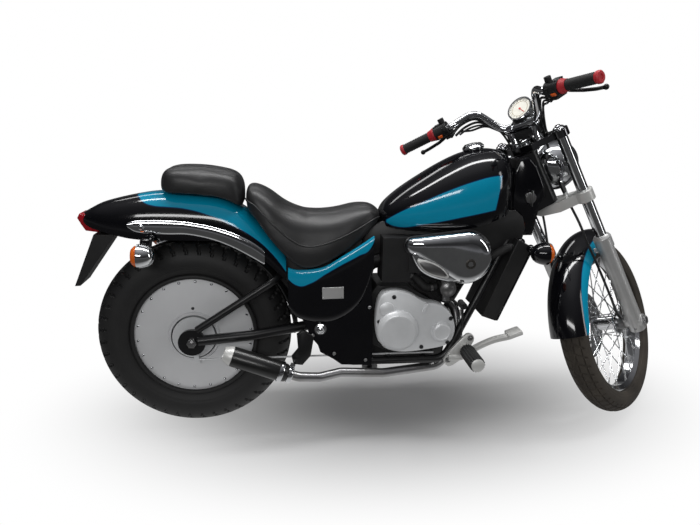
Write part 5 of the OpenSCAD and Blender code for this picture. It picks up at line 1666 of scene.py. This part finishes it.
def make_radiator():
    """Fins on the leaning core, in a plain surround with a cap."""
    low, high = Vector((968.2, 0, 358)), Vector((1069.2, 0, 604))
    rise = (high - low).normalized()
    out = Vector((rise.z, 0, -rise.x))
    turn = Matrix((out, Vector((0, 1, 0)), rise)).transposed().to_4x4()
    spots = [Matrix.Translation(low + rise * (14 + FIN_GAP * i) + out * 0.6) @ turn for i in range(FINS)]
    repeat("radiator_fins", block_shape((4, 150, 1.3), cut=0.2), spots, CHASSIS, "chassis",
           "dark_alloy", angle=25)
    sides = [moved(block_shape((10, 18, 258), cut=0.3),
                   Matrix.Translation(low + rise * 133 + out * 2 + Vector((0, s * 86, 0))) @ turn)
             for s in (-1, 1)]
    bars = [moved(block_shape((10, 186, 14), cut=0.3),
                  Matrix.Translation(low + rise * d + out * 2) @ turn) for d in (8, 258)]
    cap = moved(round_head(17, 14, 32), Matrix.Translation(high + Vector((-30, -60, 8))))
    add_shape("radiator_surround", merge_shapes(sides + bars + [cap]), CHASSIS, "chassis",
              "gloss_black")


make_radiator()


def make_side_trim():
    """Plain plate on the side cover, and bolts and screws of the pivot covers."""
    badge = outline_plate([(400, 450), (466, 452), (465, 489), (399, 487)], -133.6, -130, 1.2)
    add_shape("side_badge_plate", badge, CHASSIS, "chassis", "satin_alloy")
    corners = [facing(x, -133.2, z) for x, z in ((405, 455), (460, 456), (460, 484), (405, 482))]
    repeat("side_badge_pins", round_head(1.8, 1.2), corners, CHASSIS, "chassis", "steel")
    caps = [facing(396, -126.6, 351), facing(396, 126.6, 351, 1)]
    repeat("pivot_bolt_caps", merge_shapes([hex_head(15, 8), round_head(12, 13, 24)]), caps, CHASSIS,
           "chassis", "chrome")
    screws = [facing(x, -125, z) for x, z in ((440, 268), (540, 244), (548, 420), (372, 330))]
    screws += [facing(x, 125, z, 1) for x, z in ((440, 268), (548, 420), (372, 330))]
    repeat("pivot_cover_screws", round_head(6, 3.6), screws, CHASSIS, "chassis", "steel")


make_side_trim()


# Mudguard ahead of the rear tyre: outer and inner radius, half width
MUDGUARD_OUT, MUDGUARD_IN, MUDGUARD_HALF = 329, 325, 70


def make_frame_covers():
    """Neck cover, panels, battery box, mudguard and lower engine case."""
    neck = eased([(1062, 894), (1132, 768), (1096, 724), (1084, 630), (1038, 630), (1003, 720),
                  (1011, 874)], 1)
    add_shape("neck_cover", outline_plate(neck, -43.5, 43.5, 12), CHASSIS, "chassis",
              "gloss_black", angle=50)
    under = eased([(600, 684), (780, 690), (960, 716), (1036, 716), (1060, 640), (1010, 580), (930, 566),
                   (860, 600), (700, 590), (604, 590), (534, 560), (526, 626), (560, 668)], 1)
    panel = outline_plate(under, -62, -46, 4)
    add_shape("under_tank_panels", both_sides(panel), CHASSIS, "chassis",
              "black_plastic", angle=50)
    box = moved(block_shape((108, 96, 160), cut=0.12), spot_at(520, 0, 540) @ turn_by(12, "Y"))
    duct = tube_shape([(600, -40, 560), (560, -46, 548), (528, -48, 520)], 26, 20, 20)
    add_shape("battery_box", merge_shapes([box, duct]), CHASSIS, "chassis",
              "black_plastic")
    rings = []
    for i in range(25):
        a = math.radians(2 + 50 * i / 24)
        ring = []
        for radius, order in ((MUDGUARD_OUT, 1), (MUDGUARD_IN, -1)):
            for k in range(13)[::order]:
                y = -MUDGUARD_HALF + 2 * MUDGUARD_HALF * k / 12
                r = radius - 10 * (abs(y) / MUDGUARD_HALF) ** 4
                ring.append((r * math.cos(a), y, REAR_RADIUS + r * math.sin(a)))
        rings.append(ring)
    add_shape("rear_mudguard", arch_loft(rings), CHASSIS, "chassis", "black_plastic",
              angle=50)
    # Lower engine case between the covers, and the panels between the seat and the rear tyre
    sump = outline_plate([(556, 300), (556, 224), (786, 222), (806, 246), (814, 300)], -72, 72, 8)
    add_shape("engine_sump", sump, CHASSIS, "chassis", "engine_black", angle=50)
    arc = [(340 * math.cos(math.radians(a)), REAR_RADIUS + 340 * math.sin(math.radians(a)))
           for a in (24, 32, 40, 48)]
    side = outline_plate(arc + [(262, 600), (330, 586), (420, 562), (470, 520), (470, 450)], -62, -46, 4)
    add_shape("inner_side_panels", both_sides(side), CHASSIS, "chassis", "black_plastic",
              angle=50)


make_frame_covers()


def make_tail_lamp():
    """Faceted red lens that wraps the lower end of the fender's tail."""
    outline = [(-334, 682), (-327, 695), (-309, 695), (-297, 681), (-273, 644), (-276, 638), (-312, 643),
               (-324, 662)]
    lens = outline_plate(outline, -35, 35, 4)
    add_shape("tail_lamp_lens", lens, CHASSIS, "chassis", "red_lens", "tail_lamp", angle=30)


make_tail_lamp()


# The rest of the CAD nodes, smooth-shaded with eased edges. Rows: node, finish, bevel in millimetres
for node_name, finish_name, ease in (
        ("frame", "frame_black", 0), ("ignition_lock", "steel", 0.8), ("swingarm", "frame_black", 0),
        ("rear_axle", "steel", 0.6), ("crankcase", "engine_black", 1.5), ("cylinder", "engine_black", 2),
        ("intake", "black_plastic", 3), ("radiator", "radiator_black", 1.5), ("exhaust_pipe", "steel", 0),
        ("fuel_cap", "chrome", 0.8), ("plate_bracket", "black_plastic", 1),
        ("indicator_lenses", "amber_lens", 0.8), ("rear_brake", "cast_alloy", 0.8),
        ("lower_yoke", "bright_alloy", 1.2), ("top_yoke", "dark_chrome", 1.2),
        ("stanchions", "chrome", 0.6), ("sliders", "satin_alloy", 0.8), ("front_axle", "steel", 0.6),
        ("headlamp", "chrome", 0), ("headlamp_lens", "lamp_glass", 0), ("speedometer", "chrome", 0.6),
        ("switch_housings", "black_plastic", 1.5), ("levers", "frame_black", 0),
        ("brake_caliper", "dark_alloy", 1.2), ("pivot_covers", "gloss_black", 1.5),
        ("mirror_bosses", "black_plastic", 0.5), ("rear_sprocket", "steel", 0.4),
        ("side_stand", "frame_black", 0.8)):
    copy_node(node_name, finish_name, bevel=ease)
